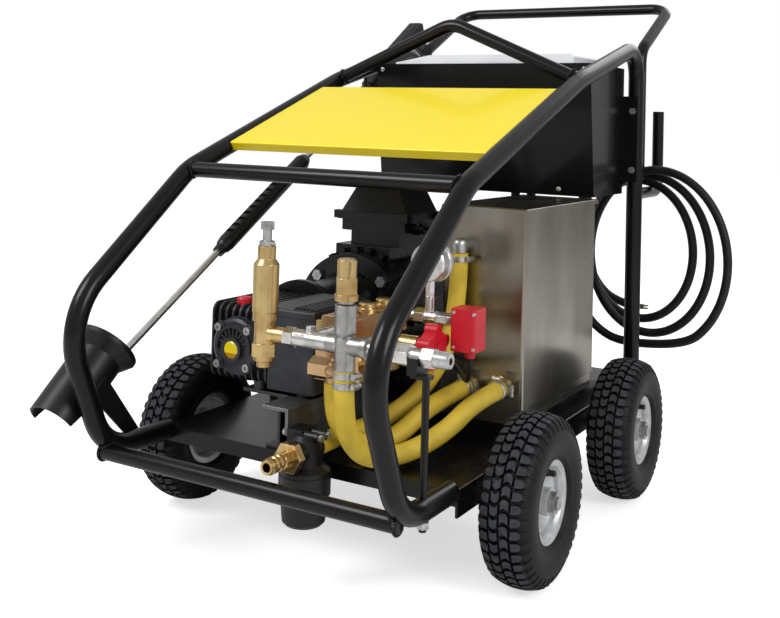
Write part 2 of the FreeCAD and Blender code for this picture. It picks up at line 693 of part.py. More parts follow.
def make_tank():
    x0, x1, y0, y1 = TANK_LEFT_X, TANK_RIGHT_X, TANK_FRONT_Y, TANK_REAR_Y
    t = TANK_WALL
    body = box(x0, y0, TANK_BOTTOM_Z, x1, y1, TANK_TOP_Z)
    body = softened(body, TANK_CORNER, lambda e: runs_along(e, Z_AXIS))
    body = body.cut(box(x0 + t, y0 + t, TANK_BOTTOM_Z + t, x1 - t, y1 - t, TANK_TOP_Z + 1))
    inset = 4.0
    skirt = box(x0 + inset, y0 + inset, PLATFORM_TOP_Z, x1 - inset, y1 - inset, TANK_BOTTOM_Z)
    inner = 2 * inset
    skirt = skirt.cut(box(x0 + inner, y0 + inner, PLATFORM_TOP_Z, x1 - inner, y1 - inner, TANK_BOTTOM_Z))
    body = body.fuse(skirt)
    for x, z in (PORT_SUCTION, PORT_BYPASS, PORT_SUPPLY):
        body = body.cut(cylinder(PORT_R, 4 * t, (x, y0 - t, z), Y_AXIS))
    nodes["tank_body"] = body.removeSplitter()
    o = LID_OVERHANG
    lid = box(x0 - o, y0 - o, TANK_TOP_Z, x1 + o, y1 + o, TANK_TOP_Z + LID_HEIGHT)
    lid = softened(lid, 2.5, lambda e: e.CenterOfMass.z > TANK_TOP_Z + LID_HEIGHT - 0.1)
    g = t + LID_GAP
    lip = box(x0 + g, y0 + g, TANK_TOP_Z - LID_LIP, x1 - g, y1 - g, TANK_TOP_Z)
    g = 2 * t
    lip = lip.cut(box(x0 + g, y0 + g, TANK_TOP_Z - LID_LIP, x1 - g, y1 - g, TANK_TOP_Z))
    lip = softened(lip, TANK_CORNER - t, lambda e: runs_along(e, Z_AXIS) and e.Length > LID_LIP - 1
                   and not (x0 + g - 0.01 < e.CenterOfMass.x < x1 - g + 0.01))
    nodes["tank_lid"] = lid.fuse(lip).removeSplitter()
    make_float_valve()


def make_float_valve():
    """The supply elbow goes through the wall to a valve seat, on which the float arm turns."""
    x, z = PORT_SUPPLY
    y0 = TANK_FRONT_Y
    elbow_y = y0 - 24
    elbow = cylinder(13, 24, (x, elbow_y, z), Y_AXIS).fuse(Part.makeSphere(13, V(x, elbow_y, z)))
    elbow = elbow.fuse([cylinder(13, 14, (x, elbow_y, z - 14)), cylinder(BARB_R, 14 + BARB_LENGTH,
                                                                       (x, elbow_y, z - 14 - BARB_LENGTH))])
    valve = cylinder(PORT_R, FLOAT_PIVOT_Y - y0 - 8, (x, y0, z), Y_AXIS)
    fork = box(x - 8, FLOAT_PIVOT_Y - 12, z - 6, x + 8, FLOAT_PIVOT_Y + 6, z + 6)
    fork = fork.cut(box(x - 4, FLOAT_PIVOT_Y - 9, z - 7, x + 4, FLOAT_PIVOT_Y + 7, z + 7))
    pin = cylinder(FLOAT_PIN_R, 16, (x - 8, FLOAT_PIVOT_Y, z), X_AXIS)
    supply = elbow.fuse([valve, fork, pin]).removeSplitter()
    nodes["tank_fittings"] = group(tank_barb(PORT_SUCTION, y0), tank_barb(PORT_BYPASS, y0), supply)
    eye = ring(6.5, FLOAT_PIN_R + RUNNING_GAP, 6, (x - 3, FLOAT_PIVOT_Y, z), X_AXIS)
    rod = cylinder(2.6, FLOAT_ARM - FLOAT_R + 2, (x, FLOAT_PIVOT_Y + 4.5, z), Y_AXIS)
    ball = Part.makeSphere(FLOAT_R, V(x, FLOAT_PIVOT_Y + FLOAT_ARM, z))
    nodes["float_arm"] = eye.fuse([rod, ball]).removeSplitter()


# Hoses and cables

def hose_clamp(base, axis):
    """A worm drive clamp: a band and the screw housing beside it."""
    inner = HOSE_DIA / 2
    outer = inner + CLAMP_BAND
    band = ring(outer, inner, CLAMP_WIDTH, (0, 0, 0))
    housing = box(outer - 0.6, -7, 0, outer + 6, 7, CLAMP_WIDTH)
    screw = cylinder(4.0, 20, (outer + 4, -10, CLAMP_WIDTH / 2), Y_AXIS)
    return placed(band.fuse([housing, screw]), base, axis)


def make_hoses():
    """Each hose starts and ends along the axis of its barb."""
    front = TANK_FRONT_Y - 8
    sx, sz = PORT_SUPPLY
    elbow_y = TANK_FRONT_Y - 24
    top = sz - 15
    nodes["supply_hose"] = hose("supply hose", [
        (sx, elbow_y, top), (sx, elbow_y, 410), (138, 90, 318), (112, 34, 246), (74, -36, 210),
        (FILTER_X, -104, FILTER_PORT_Z), (FILTER_X, FILTER_Y + 30, FILTER_PORT_Z)])
    ux = UNLOADER_X
    bx, bz = PORT_BYPASS
    nodes["bypass_hose"] = hose("bypass hose", [
        (ux, LINE_Y, BYPASS_TOP_Z), (ux, LINE_Y, 272), (138, -209, 224), (146, -163, 198), (172, -98, 196),
        (206, -36, 222), (bx, 20, bz), (bx, front, bz)])
    px, pz = PORT_SUCTION
    nodes["suction_hose"] = hose("suction hose", [
        (SUCTION_X, SUCTION_Y, SUCTION_TOP_Z), (SUCTION_X, SUCTION_Y, 264), (87, -156, 224), (104, -120, 199),
        (130, -72, 203), (px, -4, pz), (px, front, pz)])
    bands = [
        hose_clamp((ux, LINE_Y, BYPASS_TOP_Z - 11), Z_AXIS),
        hose_clamp((ux, LINE_Y, BYPASS_TOP_Z - 25), Z_AXIS),
        hose_clamp((sx, elbow_y, top - 14), Z_AXIS),
        hose_clamp((bx, front - 4 - CLAMP_WIDTH, bz), Y_AXIS),
        hose_clamp((px, front - 4 - CLAMP_WIDTH, pz), Y_AXIS)]
    return bands


def make_control_cables():
    """One cable goes from the motor and one from the pressure switch to the control box."""
    gland_z = BOX_BOTTOM_Z - GLAND_HEIGHT
    start_x = TERMINAL_X + 72 + 26
    y = TERMINAL_FRONT_Y + 40
    gx = MOTOR_GLAND_X
    motor_cable = cord("motor cable", [
        (start_x, y, 503), (start_x + 27, y, 503), (43, y + 14, 501), (57, y + 40, 496), (61, y + 92, 486),
        (gx, y + 160, 474), (gx, GLAND_Y - 46, 468), (gx, GLAND_Y - 16, 485), (gx, GLAND_Y, 512),
        (gx, GLAND_Y, gland_z)], CONTROL_CABLE_DIA)
    bx = BRANCH_TEE_X + 50 + 26
    bottom = PRESSURE_SWITCH_TOP_Z - PRESSURE_SWITCH[2] - 12
    gx = SWITCH_GLAND_X
    switch_cable = cord("switch cable", [
        (bx, BRANCH_Y, bottom), (bx, BRANCH_Y, bottom - 25), (211, 19, 288), (187, 51, 287), (158, 92, 288),
        (124, 119, 291), (90, 134, 306), (80, 180, 338), (78, 240, 382), (80, 310, 424), (83, 380, 456),
        (87, 450, 476), (93, 502, 484), (gx, GLAND_Y - 12, 500), (gx, GLAND_Y, 519),
        (gx, GLAND_Y, gland_z)], CONTROL_CABLE_DIA)
    nodes["control_cables"] = group(motor_cable, switch_cable)


# Motor

def make_motor():
    x, z = DRIVE_X, DRIVE_Z
    front = FLANGE_Y + SHIELD
    rear = front + MOTOR_LENGTH
    corners = []
    for i in range(MOTOR_FINS):
        for share, r in ((0.0, MOTOR_R), (0.62, MOTOR_R), (0.66, MOTOR_R + MOTOR_FIN), (0.96, MOTOR_R + MOTOR_FIN)):
            a = 2 * math.pi * (i + share) / MOTOR_FINS
            corners.append(V(x + r * math.cos(a), front, z + r * math.sin(a)))
    barrel = Part.Face(Part.makePolygon(corners + [corners[0]])).extrude(V(0, MOTOR_LENGTH, 0))
    seat_top = z + MOTOR_R + MOTOR_FIN + 3
    seat = box(x - 62, front + 12, z + 90, x + 62, front + 152, seat_top)
    feet = []
    for s in (-1, 1):
        feet.append(box(x + s * 64, front + 40, PLATFORM_TOP_Z, x + s * 128, front + 240, PLATFORM_TOP_Z + 14))
        feet.append(box(x + s * 64, front + 50, PLATFORM_TOP_Z, x + s * 84, front + 230, z - 70))
    shield = lathe([(SHAFT_R + RUNNING_GAP, 0), (FLANGE_R, 0), (FLANGE_R, 12), (MOTOR_R, SHIELD),
                    (SHAFT_R + RUNNING_GAP, SHIELD)], (x, FLANGE_Y, z), Y_AXIS)
    bore = cylinder(MOTOR_R - MOTOR_WALL, MOTOR_LENGTH - 18, (x, front, z), Y_AXIS)
    tail_bore = cylinder(SHAFT_R + RUNNING_GAP, 60, (x, rear - 40, z), Y_AXIS)
    housing = barrel.fuse([seat] + feet).cut(bore).cut(tail_bore).fuse(shield)
    for i in range(4):
        a = math.radians(45 + 90 * i)
        at = V(x + FLANGE_BOLT_R * math.cos(a), FLANGE_Y, z + FLANGE_BOLT_R * math.sin(a))
        housing = housing.cut(cylinder(FLANGE_BOLT_HOLE_R, 10, at, Y_AXIS))
    nodes["motor_housing"] = housing.removeSplitter()

    outer = FAN_COVER_R
    length = FAN_COVER_LENGTH
    cover = lathe([(outer - 2, 0), (outer, 0), (outer, length - 14), (outer - 14, length), (0, length),
                   (0, length - 2), (outer - 15, length - 2), (outer - 2, length - 15)], (x, rear, z), Y_AXIS)
    slots = []
    for r in (34.0, 56.0, 78.0):
        for i in range(8):
            slot = box(-9, -4, -4, 9, 4, 4)
            a = math.radians(45 * i + r)
            turn = FreeCAD.Rotation(X_AXIS, 90).multiply(FreeCAD.Rotation(Z_AXIS, 90 + math.degrees(a)))
            slot.Placement = FreeCAD.Placement(
                V(x + r * math.cos(a), rear + length, z + r * math.sin(a)), turn)
            slots.append(slot)
    nodes["fan_cover"] = cover.cut(Part.Compound(slots))
    shaft_start = FLANGE_Y - 20
    shaft = cylinder(SHAFT_R, rear + 46 - shaft_start, (x, shaft_start, z), Y_AXIS)
    rotor = cylinder(MOTOR_R - MOTOR_WALL - 20, MOTOR_LENGTH - 110, (x, front + 45, z), Y_AXIS)
    hub = cylinder(34, 26, (x, rear + 16, z), Y_AXIS)
    blades = []
    for i in range(FAN_BLADES):
        blade = box(30, -2, 0, outer - 24, 2, 26)
        turn = FreeCAD.Rotation(X_AXIS, 90).multiply(FreeCAD.Rotation(Z_AXIS, 360 / FAN_BLADES * i))
        blade.Placement = FreeCAD.Placement(V(x, rear + 42, z), turn)
        blades.append(blade)
    nodes["motor_rotor"] = shaft.fuse([rotor, hub] + blades).removeSplitter()


def make_terminal_box():
    x = TERMINAL_X
    y0 = TERMINAL_FRONT_Y
    y1 = y0 + TERMINAL_LENGTH
    seat = DRIVE_Z + MOTOR_R + MOTOR_FIN + 3
    neck = box(x - 55, y0 + 8, seat, x + 55, y1 - 8, 492)
    tray = box(x - 72, y0, 492, x + 72, y1, 514)
    rim = box(x - 80, y0 - 6, 514, x + 80, y1 + 6, 530)
    ears = [box(x + s * 80, y, 514, x + s * 95, y + 16, 530) for s in (-1, 1) for y in (y0 + 4, y1 - 20)]
    low = [V(x - 74, y0, 530), V(x + 74, y0, 530), V(x + 74, y1, 530), V(x - 74, y1, 530)]
    top = TERMINAL_TOP_Z
    high = [V(x - 42, y0 + 18, top), V(x + 42, y0 + 18, top), V(x + 42, y1 - 10, top), V(x - 42, y1 - 10, top)]
    hood = Part.makeLoft([Part.makePolygon(low + [low[0]]), Part.makePolygon(high + [high[0]])], True, True)
    gland = lathe([(0, 0), (15, 0), (15, 12), (12, 14), (12, 26), (0, 26)], (x + 72, y0 + 40, 503), X_AXIS)
    nodes["terminal_box"] = neck.fuse([tray, rim, hood, gland] + ears).removeSplitter()


def make_bell_housing():
    """The open casting between the pump and the motor, with its four bolts."""
    x, z = DRIVE_X, DRIVE_Z
    length = FLANGE_Y - PUMP_REAR_Y
    back = length - FLANGE_THICK
    bell = lathe([(62, 0), (88, 0), (88, 12), (72, 16), (82, back - 12), (88, back), (FLANGE_R, back),
                  (FLANGE_R, length), (62, length)], (x, PUMP_REAR_Y, z), Y_AXIS)
    for s in (-1, 1):
        bell = bell.cut(box(x + s * 40, PUMP_REAR_Y + 34, z - 38, x + s * 130, FLANGE_Y - 40, z + 26))
    bolts = []
    for i in range(4):
        a = math.radians(45 + 90 * i)
        at = V(x + FLANGE_BOLT_R * math.cos(a), FLANGE_Y - FLANGE_THICK, z + FLANGE_BOLT_R * math.sin(a))
        bell = bell.cut(cylinder(FLANGE_BOLT_HOLE_R, FLANGE_THICK, at, Y_AXIS))
        bolts.append(bolt(19, 9, FLANGE_BOLT_HOLE_R, FLANGE_THICK + 10, at, Y_AXIS * -1))
    nodes["bell_housing"] = bell
    return bolts


# Pump

def make_pump():
    x, z = DRIVE_X, DRIVE_Z
    y0, y1 = PUMP_FRONT_Y, PUMP_REAR_Y
    middle = (y0 + y1) / 2
    case = box(PUMP_LEFT_X + 10, y0 + 10, PUMP_BOTTOM_Z + 10, -40, y1, PUMP_TOP_Z - 12)
    case = softened(case, 14.0, lambda e: runs_along(e, Y_AXIS) and e.CenterOfMass.x < x)
    extras = [box(PUMP_LEFT_X, y0 + 14, z - 42, PUMP_LEFT_X + 12, y1 - 6, z + 44)]
    for i in range(PUMP_FINS):
        fx = PUMP_LEFT_X + 6 + i * PUMP_FIN_PITCH
        fin = box(fx, y0, PUMP_BOTTOM_Z + 3, fx + PUMP_FIN, y1 - 4, PUMP_TOP_Z - 4)
        extras.append(softened(fin, 16.0, lambda e: runs_along(e, X_AXIS) and e.CenterOfMass.y < 0))
    head = box(-68, y0, PUMP_BOTTOM_Z, PUMP_RIGHT_X, y1, PUMP_TOP_Z - 12)
    extras.append(softened(head, 6.0, lambda e: runs_along(e, Z_AXIS) and e.CenterOfMass.x > 0))
    roof = box(-80, y0 - 2, PUMP_TOP_Z - 12, PUMP_RIGHT_X, y1, PUMP_TOP_Z)
    extras.append(softened(roof, 5.0, lambda e: runs_along(e, X_AXIS) and e.CenterOfMass.z > PUMP_TOP_Z - 1))
    extras.append(cylinder(COVER_R + 2, 14, (x, y0 - COVER_SEAT, z), Y_AXIS))
    for i in range(6):
        rx = -24 + i * 7.5
        extras.append(box(rx, y0 + 8, PUMP_TOP_Z - 1, rx + 3, y1 - 10, PUMP_TOP_Z + 3))
    for fx in PUMP_FEET_X:
        for fy in PUMP_FEET_Y:
            extras.append(cylinder(11, PUMP_FOOT + 8, (fx, fy, PUMP_BOTTOM_Z - PUMP_FOOT)))
    case = case.fuse(extras)
    case = case.cut(cylinder(38, y1 - y0 - 34, (x, y0 + 16, z), Y_AXIS))
    case = case.cut(cylinder(CRANK_R + RUNNING_GAP, 60, (x, y1 - 40, z), Y_AXIS))
    for i in (-1, 0, 1):
        py = middle + i * PLUNGER_PITCH
        case = case.cut(cylinder(PLUNGER_R + RUNNING_GAP, 200, (x + 30, py, z), X_AXIS))
    cap_x, cap_y = OIL_CAP
    neck_z = PUMP_TOP_Z - 12
    case = case.cut(cylinder(OIL_CAP_R + LOOSE_GAP, 20, (cap_x, cap_y, neck_z)))
    nodes["pump_crankcase"] = largest(case.removeSplitter())
    nodes["oil_cap"] = lathe([(0, neck_z), (OIL_CAP_R, neck_z), (OIL_CAP_R, neck_z + 14), (11, neck_z + 17),
                              (0, neck_z + 17)], (cap_x, cap_y, 0))

    crank = cylinder(CRANK_R, y1 + 20 - (y0 + 18), (x, y0 + 18, z), Y_AXIS)
    journals = []
    for i in (-1, 0, 1):
        a = math.radians(120 * i)
        centre = V(x + CRANK_THROW * math.cos(a), middle + i * PLUNGER_PITCH - 12, z + CRANK_THROW * math.sin(a))
        journals.append(cylinder(21, 24, centre, Y_AXIS))
    start = y1 + 14
    coupling = cylinder(COUPLING_R, FLANGE_Y - 20 - start, (x, start, z), Y_AXIS)
    groove = ring(COUPLING_R + 1, COUPLING_R - 6, 8, (x, (start + FLANGE_Y - 20) / 2 - 4, z), Y_AXIS)
    nodes["pump_crankshaft"] = crank.fuse(journals + [coupling.cut(groove)]).removeSplitter()
    rods = []
    for i in (-1, 0, 1):
        rods.append(cylinder(PLUNGER_R, PUMP_RIGHT_X + 20 - (x + 42), (x + 42, middle + i * PLUNGER_PITCH, z), X_AXIS))
    nodes["pump_plungers"] = group(*rods)


def make_bearing_cover():
    x, z = DRIVE_X, DRIVE_Z
    face = PUMP_FRONT_Y - COVER_SEAT
    forward = Y_AXIS * -1
    cover = lathe([(0, 0), (COVER_R, 0), (COVER_R, 7), (41, 10), (27, 11), (0, 11)], (x, face, z), forward)
    corners = [(x + sx * COVER_SCREW, z + sz * COVER_SCREW) for sx in (-1, 1) for sz in (-1, 1)]
    pieces = [cylinder(9.5, COVER_LUG, (cx, face, cz), forward) for cx, cz in corners]
    arch = ring(36, 31, 16, (x, face, z), forward)
    arch = arch.cut(box(x - 60, face - 30, z - 60, x + 60, face + 1, z - 6))
    for cx, cz in corners:
        arch = arch.cut(cylinder(9.5, 30, (cx, face, cz), forward))
    pieces += arch.Solids
    eye = V(x - 1, face, GLASS_Z)
    pieces.append(cylinder(GLASS_R + 5, 19, eye, forward))
    cover = cover.fuse(pieces).cut(cylinder(GLASS_R, 8, eye + forward * 12, forward))
    nodes["bearing_cover"] = cover.removeSplitter()
    nodes["sight_glass"] = lathe([(0, 0), (GLASS_R, 0), (GLASS_R, 5), (GLASS_R - 3, 7), (0, 7)],
                                 eye + forward * 12, forward)
    screws = []
    for cx, cz in corners:
        screws.append(lathe([(0, 0), (6.5, 0), (6.5, 6), (3.2, 6), (3.2, 3), (0, 3)],
                            (cx, face - COVER_LUG, cz), forward))
    return screws


def make_manifold():
    """The brass head: three vertical valve chambers, an inlet pipe and three bores for the plungers."""
    middle = (PUMP_FRONT_Y + PUMP_REAR_Y) / 2
    x0 = PUMP_RIGHT_X
    side = MANIFOLD_BULGE_X + 7
    y0, y1 = MANIFOLD_FRONT_Y, MANIFOLD_REAR_Y
    low, top = MANIFOLD_BOTTOM_Z, MANIFOLD_TOP_Z
    body = box(x0, y0, low, side, y1, top - 8)
    upper = box(x0 + 10, y0, top - 40, MANIFOLD_BULGE_X + MANIFOLD_BULGE_R, y1, top)
    pieces = [softened(upper, 4.0, lambda e: runs_along(e, Y_AXIS) and e.CenterOfMass.z > top - 1)]
    plug_x = MANIFOLD_BULGE_X + MANIFOLD_BULGE_R + 2
    for i in (-1, 0, 1):
        py = middle + i * PLUNGER_PITCH
        pieces.append(cylinder(MANIFOLD_BULGE_R, top - low - 4, (MANIFOLD_BULGE_X, py, low)))
        pieces.append(cylinder(10, plug_x - side, (side, py, SIDE_PLUG_Z), X_AXIS))
    reach = y0 - SUCTION_Y
    pieces.append(cylinder(17, reach, (SUCTION_X, SUCTION_Y, SUCTION_PIPE_Z), Y_AXIS))
    pieces.append(Part.makeSphere(17, V(SUCTION_X, SUCTION_Y, SUCTION_PIPE_Z)))
    pieces.append(cylinder(13, SUCTION_PIPE_Z - SUCTION_TOP_Z, (SUCTION_X, SUCTION_Y, SUCTION_TOP_Z)))
    pieces.append(cylinder(BARB_R, BARB_LENGTH, (SUCTION_X, SUCTION_Y, SUCTION_TOP_Z - BARB_LENGTH)))
    pieces.append(hexagon(30, 40, (SUCTION_X - 40, SUCTION_Y, SUCTION_PIPE_Z), X_AXIS))
    body = body.fuse(pieces)
    for i in (-1, 0, 1):
        py = middle + i * PLUNGER_PITCH
        body = body.cut(cylinder(PLUNGER_R + RUNNING_GAP, 24, (x0 - 1, py, DRIVE_Z), X_AXIS))
    nodes["pump_manifold"] = body.removeSplitter()
    caps = []
    for i in (-1, 0, 1):
        py = middle + i * PLUNGER_PITCH
        caps.append(lathe([(0, 0), (19, 0), (19, 4), (14, 5), (14, 10), (11, 13), (0, 13)], (MANIFOLD_X, py, top)))
        caps.append(hexagon(22, 10, (plug_x, py, SIDE_PLUG_Z), X_AXIS))
    return caps


def make_pump_stand():
    top = PUMP_BOTTOM_Z - PUMP_FOOT
    x0 = PUMP_FEET_X[0] - 26
    x1 = PUMP_FEET_X[1] + 22
    y0 = PUMP_FEET_Y[0] - STAND_MARGIN
    y1 = PUMP_FEET_Y[1] + STAND_MARGIN
    t = STAND_PLATE
    plate = box(x0, y0, top - t, x1, y1, top)
    leg = x0 + STAND_LEG_INSET
    legs = [box(leg, y0, DECK_TOP_Z, leg + t, y1, top), box(x1 - t, y0, DECK_TOP_Z, x1, y1, top)]
    foot = box(leg - 22, y0, DECK_TOP_Z, leg + t, y1, DECK_TOP_Z + t)
    stand = plate.fuse(legs + [foot]).removeSplitter()
    rear = y0 + 60
    flange = box(x1 - BRACKET_WIDTH, BRACKET_FRONT_Y, top - t, x1 + t, y0, top)
    web = box(x1, BRACKET_FRONT_Y, top - BRACKET_DROP, x1 + t, rear, top)
    bracket = flange.fuse(web).removeSplitter()
    for by in FILTER_BOLT_Y:
        bracket = bracket.cut(cylinder(FILTER_BOLT_R, 3 * t, (x1 - t, by, FILTER_BOLT_Z), X_AXIS))
    return [stand, bracket]


# Water line

def make_outlet_tee():
    """The tee that takes the water from the pump head to the regulator and the unloader."""
    x, y, z = TEE_X, LINE_Y, LINE_Z
    arm = cylinder(TEE_ARM_R, MANIFOLD_FRONT_Y - y, (x, y, z), Y_AXIS)
    tee = cylinder(13, 66, (x - 33, y, z), X_AXIS)
    pieces = [arm, hexagon(27, 17, (x - 44, y, z), X_AXIS), hexagon(24, 20, (x - 24, y, z), X_AXIS),
              hexagon(14, 9, (x, y, z + 11)), hexagon(30, 12, (x, MANIFOLD_FRONT_Y - 12, z), Y_AXIS)]
    return tee.fuse(pieces).removeSplitter()


def make_regulator():
    x, y, z = REGULATOR_X, LINE_Y, LINE_Z
    r = REGULATOR_R
    bore = REGULATOR_SCREW_R + RUNNING_GAP
    column = lathe([(0, 330), (11, 330), (11, 338), (16, 340), (16, 400), (r - 1, 400), (r - 1, 412), (r, 414),
                    (r, 486), (r - 6, 494), (r - 6, 514), (bore, 514), (bore, 440), (0, 440)], (x, y, 0))
    flats = hexagon(35, 20, (x, y, 346))
    port = cylinder(12, TEE_X - 44 - x, (x, y, z), X_AXIS)
    nodes["regulator_body"] = column.fuse([flats, port]).removeSplitter()
    s = REGULATOR_SCREW_R
    screw = lathe([(0, 470), (s, 470), (s, 514 + LOOSE_GAP), (12, 514 + LOOSE_GAP), (12, 521), (7, 523), (7, 540),
                   (0, 540)], (x, y, 0))
    pin = cylinder(2.5, 17, (x, y, 518), V(1, -0.2, 0).normalize())
    nodes["regulator_screw"] = screw.fuse([hexagon(19, 12, (x, y, 539), Z_AXIS, 20), pin])


def make_unloader():
    x, y, z = UNLOADER_X, LINE_Y, LINE_Z
    trunk = lathe([(0, 358), (15, 358), (16, 372), (16, 392), (13, 394), (16.5, 400), (16.5, 440), (12, 442),
                   (12, 446), (0, 446)], (x, y, 0))
    arm_start = TEE_X + 33
    left = cylinder(14, x - arm_start, (arm_start, y, z), X_AXIS)
    right = cylinder(14, 42, (x, y, z), X_AXIS)
    collar = cylinder(17, 8, (x + 34, y, z), X_AXIS)
    barb = BYPASS_TOP_Z - BARB_LENGTH
    lower = lathe([(0, barb), (BARB_R, barb), (BARB_R, BYPASS_TOP_Z), (15, BYPASS_TOP_Z), (15, 359), (0, 359)],
                  (x, y, 0))
    nodes["unloader_body"] = trunk.fuse([left, right, collar, lower]).removeSplitter()
    flange = cylinder(18, 9, (x, y, 446))
    dome = lathe([(0, 478), (14.5, 478), (14.5, 505), (12.5, 507), (0, 507)], (x, y, 0))
    return flange.fuse([hexagon(29, 24, (x, y, 455), Z_AXIS, 10), dome]).removeSplitter()


def make_outlet():
    """The outlet fitting ends in a threaded nipple, and its neck lies in the stay's saddle."""
    y, z = LINE_Y, LINE_Z
    start = UNLOADER_X + 42
    neck = start + 70
    nipple = start + 108
    r = OUTLET_THREAD_R
    pieces = [hexagon(29, 40, (start + 30, y, z), X_AXIS, 8), cylinder(OUTLET_NECK_R, 20, (neck, y, z), X_AXIS),
              hexagon(26, 18, (neck + 20, y, z), X_AXIS, 25),
              lathe([(0, 0), (r, 0), (r, OUTLET_THREAD - 2), (r - 1, OUTLET_THREAD), (0, OUTLET_THREAD)],
                    (nipple, y, z), X_AXIS)]
    outlet = cylinder(12, 30, (start, y, z), X_AXIS).fuse(pieces)
    outlet = outlet.cut(cylinder(OUTLET_BORE_R, 60, (nipple + OUTLET_THREAD - 40, y, z), X_AXIS))
    seat = neck + 2
    rod_x = CAGE_HALF_WIDTH
    rod_bottom = RAIL_Z - SIDE_TUBE_DIA / 2 - STAY_NUT - 5
    saddle = box(seat, y - 17, z - 24, seat + 16, y + 17, z).cut(cylinder(OUTLET_NECK_R, 30, (seat - 5, y, z), X_AXIS))
    arm = box(seat, y - 8, z - 30, rod_x + 8, y + 8, z - 24)
    rod = cylinder(STAY_ROD_R, z - 24 - rod_bottom, (rod_x, y, rod_bottom))
    stay = saddle.fuse([arm, rod]).removeSplitter()
    nut_z = RAIL_Z - SIDE_TUBE_DIA / 2 - STAY_NUT
    nut = hexagon(17, STAY_NUT, (rod_x, y, nut_z)).cut(cylinder(STAY_ROD_R, STAY_NUT, (rod_x, y, nut_z)))
    return outlet.removeSplitter(), stay, nut


def make_hand_valve():
    x0 = MANIFOLD_BULGE_X + MANIFOLD_BULGE_R
    y, z = VALVE_Y, VALVE_Z
    body = cylinder(15, x0 + 58 - (MANIFOLD_BULGE_X + 7), (MANIFOLD_BULGE_X + 7, y, z), X_AXIS)
    body = body.fuse([hexagon(26, 12, (x0 + 44, y, z), X_AXIS), cylinder(10, 14, (x0 + 58, y, z), X_AXIS)])
    body = body.cut(cylinder(KNOB_STEM_R + RUNNING_GAP, 30, (x0 + 48, y, z), X_AXIS))
    body = body.cut(nodes["pump_manifold"])
    knob_x = x0 + 72 + LOOSE_GAP
    lobes = [cylinder(10, 22, (knob_x, y + 28 * math.cos(a), z + 28 * math.sin(a)), X_AXIS)
             for a in [math.radians(72 * i + 18) for i in range(5)]]
    knob = cylinder(27, 22, (knob_x, y, z), X_AXIS).fuse(lobes)
    stem = cylinder(KNOB_STEM_R, 22, (knob_x - 20, y, z), X_AXIS)
    nodes["star_knob"] = knob.fuse([stem, cylinder(12, 26, (knob_x, y, z), X_AXIS)]).removeSplitter()
    return largest(body)


def make_switch_branch():
    y, z = BRANCH_Y, BRANCH_Z
    x0 = MANIFOLD_BULGE_X + MANIFOLD_BULGE_R
    x = BRANCH_TEE_X
    tee = cylinder(BRANCH_R, x + 16 - x0, (x0, y, z), X_AXIS)
    stub = GAUGE_Z - GAUGE_R - 24
    tee = tee.fuse([hexagon(24, 18, (x - 24, y, z), X_AXIS), cylinder(8, stub - z, (x, y, z)),
                    hexagon(19, 34, (x + 16, y, z), X_AXIS)])
    r = GAUGE_R
    case = lathe([(0, 0), (r - 2, 0), (r, 3), (r, 26), (r + 2.5, 27), (r + 2.5, 31), (r - 2, 31), (r - 2, 28),
                  (0, 28)], (x, y - 14, GAUGE_Z), Y_AXIS)
    nodes["pressure_gauge"] = hexagon(14, 26, (x, y, stub)).fuse(case).removeSplitter()
    width, depth, height = PRESSURE_SWITCH
    bx = x + 50
    top = PRESSURE_SWITCH_TOP_Z
    shell = box(bx, y - depth / 2, top - height, bx + width, y + depth / 2, top)
    shell = softened(shell, 4.0, lambda e: runs_along(e, Z_AXIS))
    gland = cylinder(8, 12, (bx + 26, y, top - height - 12))
    nodes["pressure_switch"] = shell.fuse(gland)
    return tee.removeSplitter()


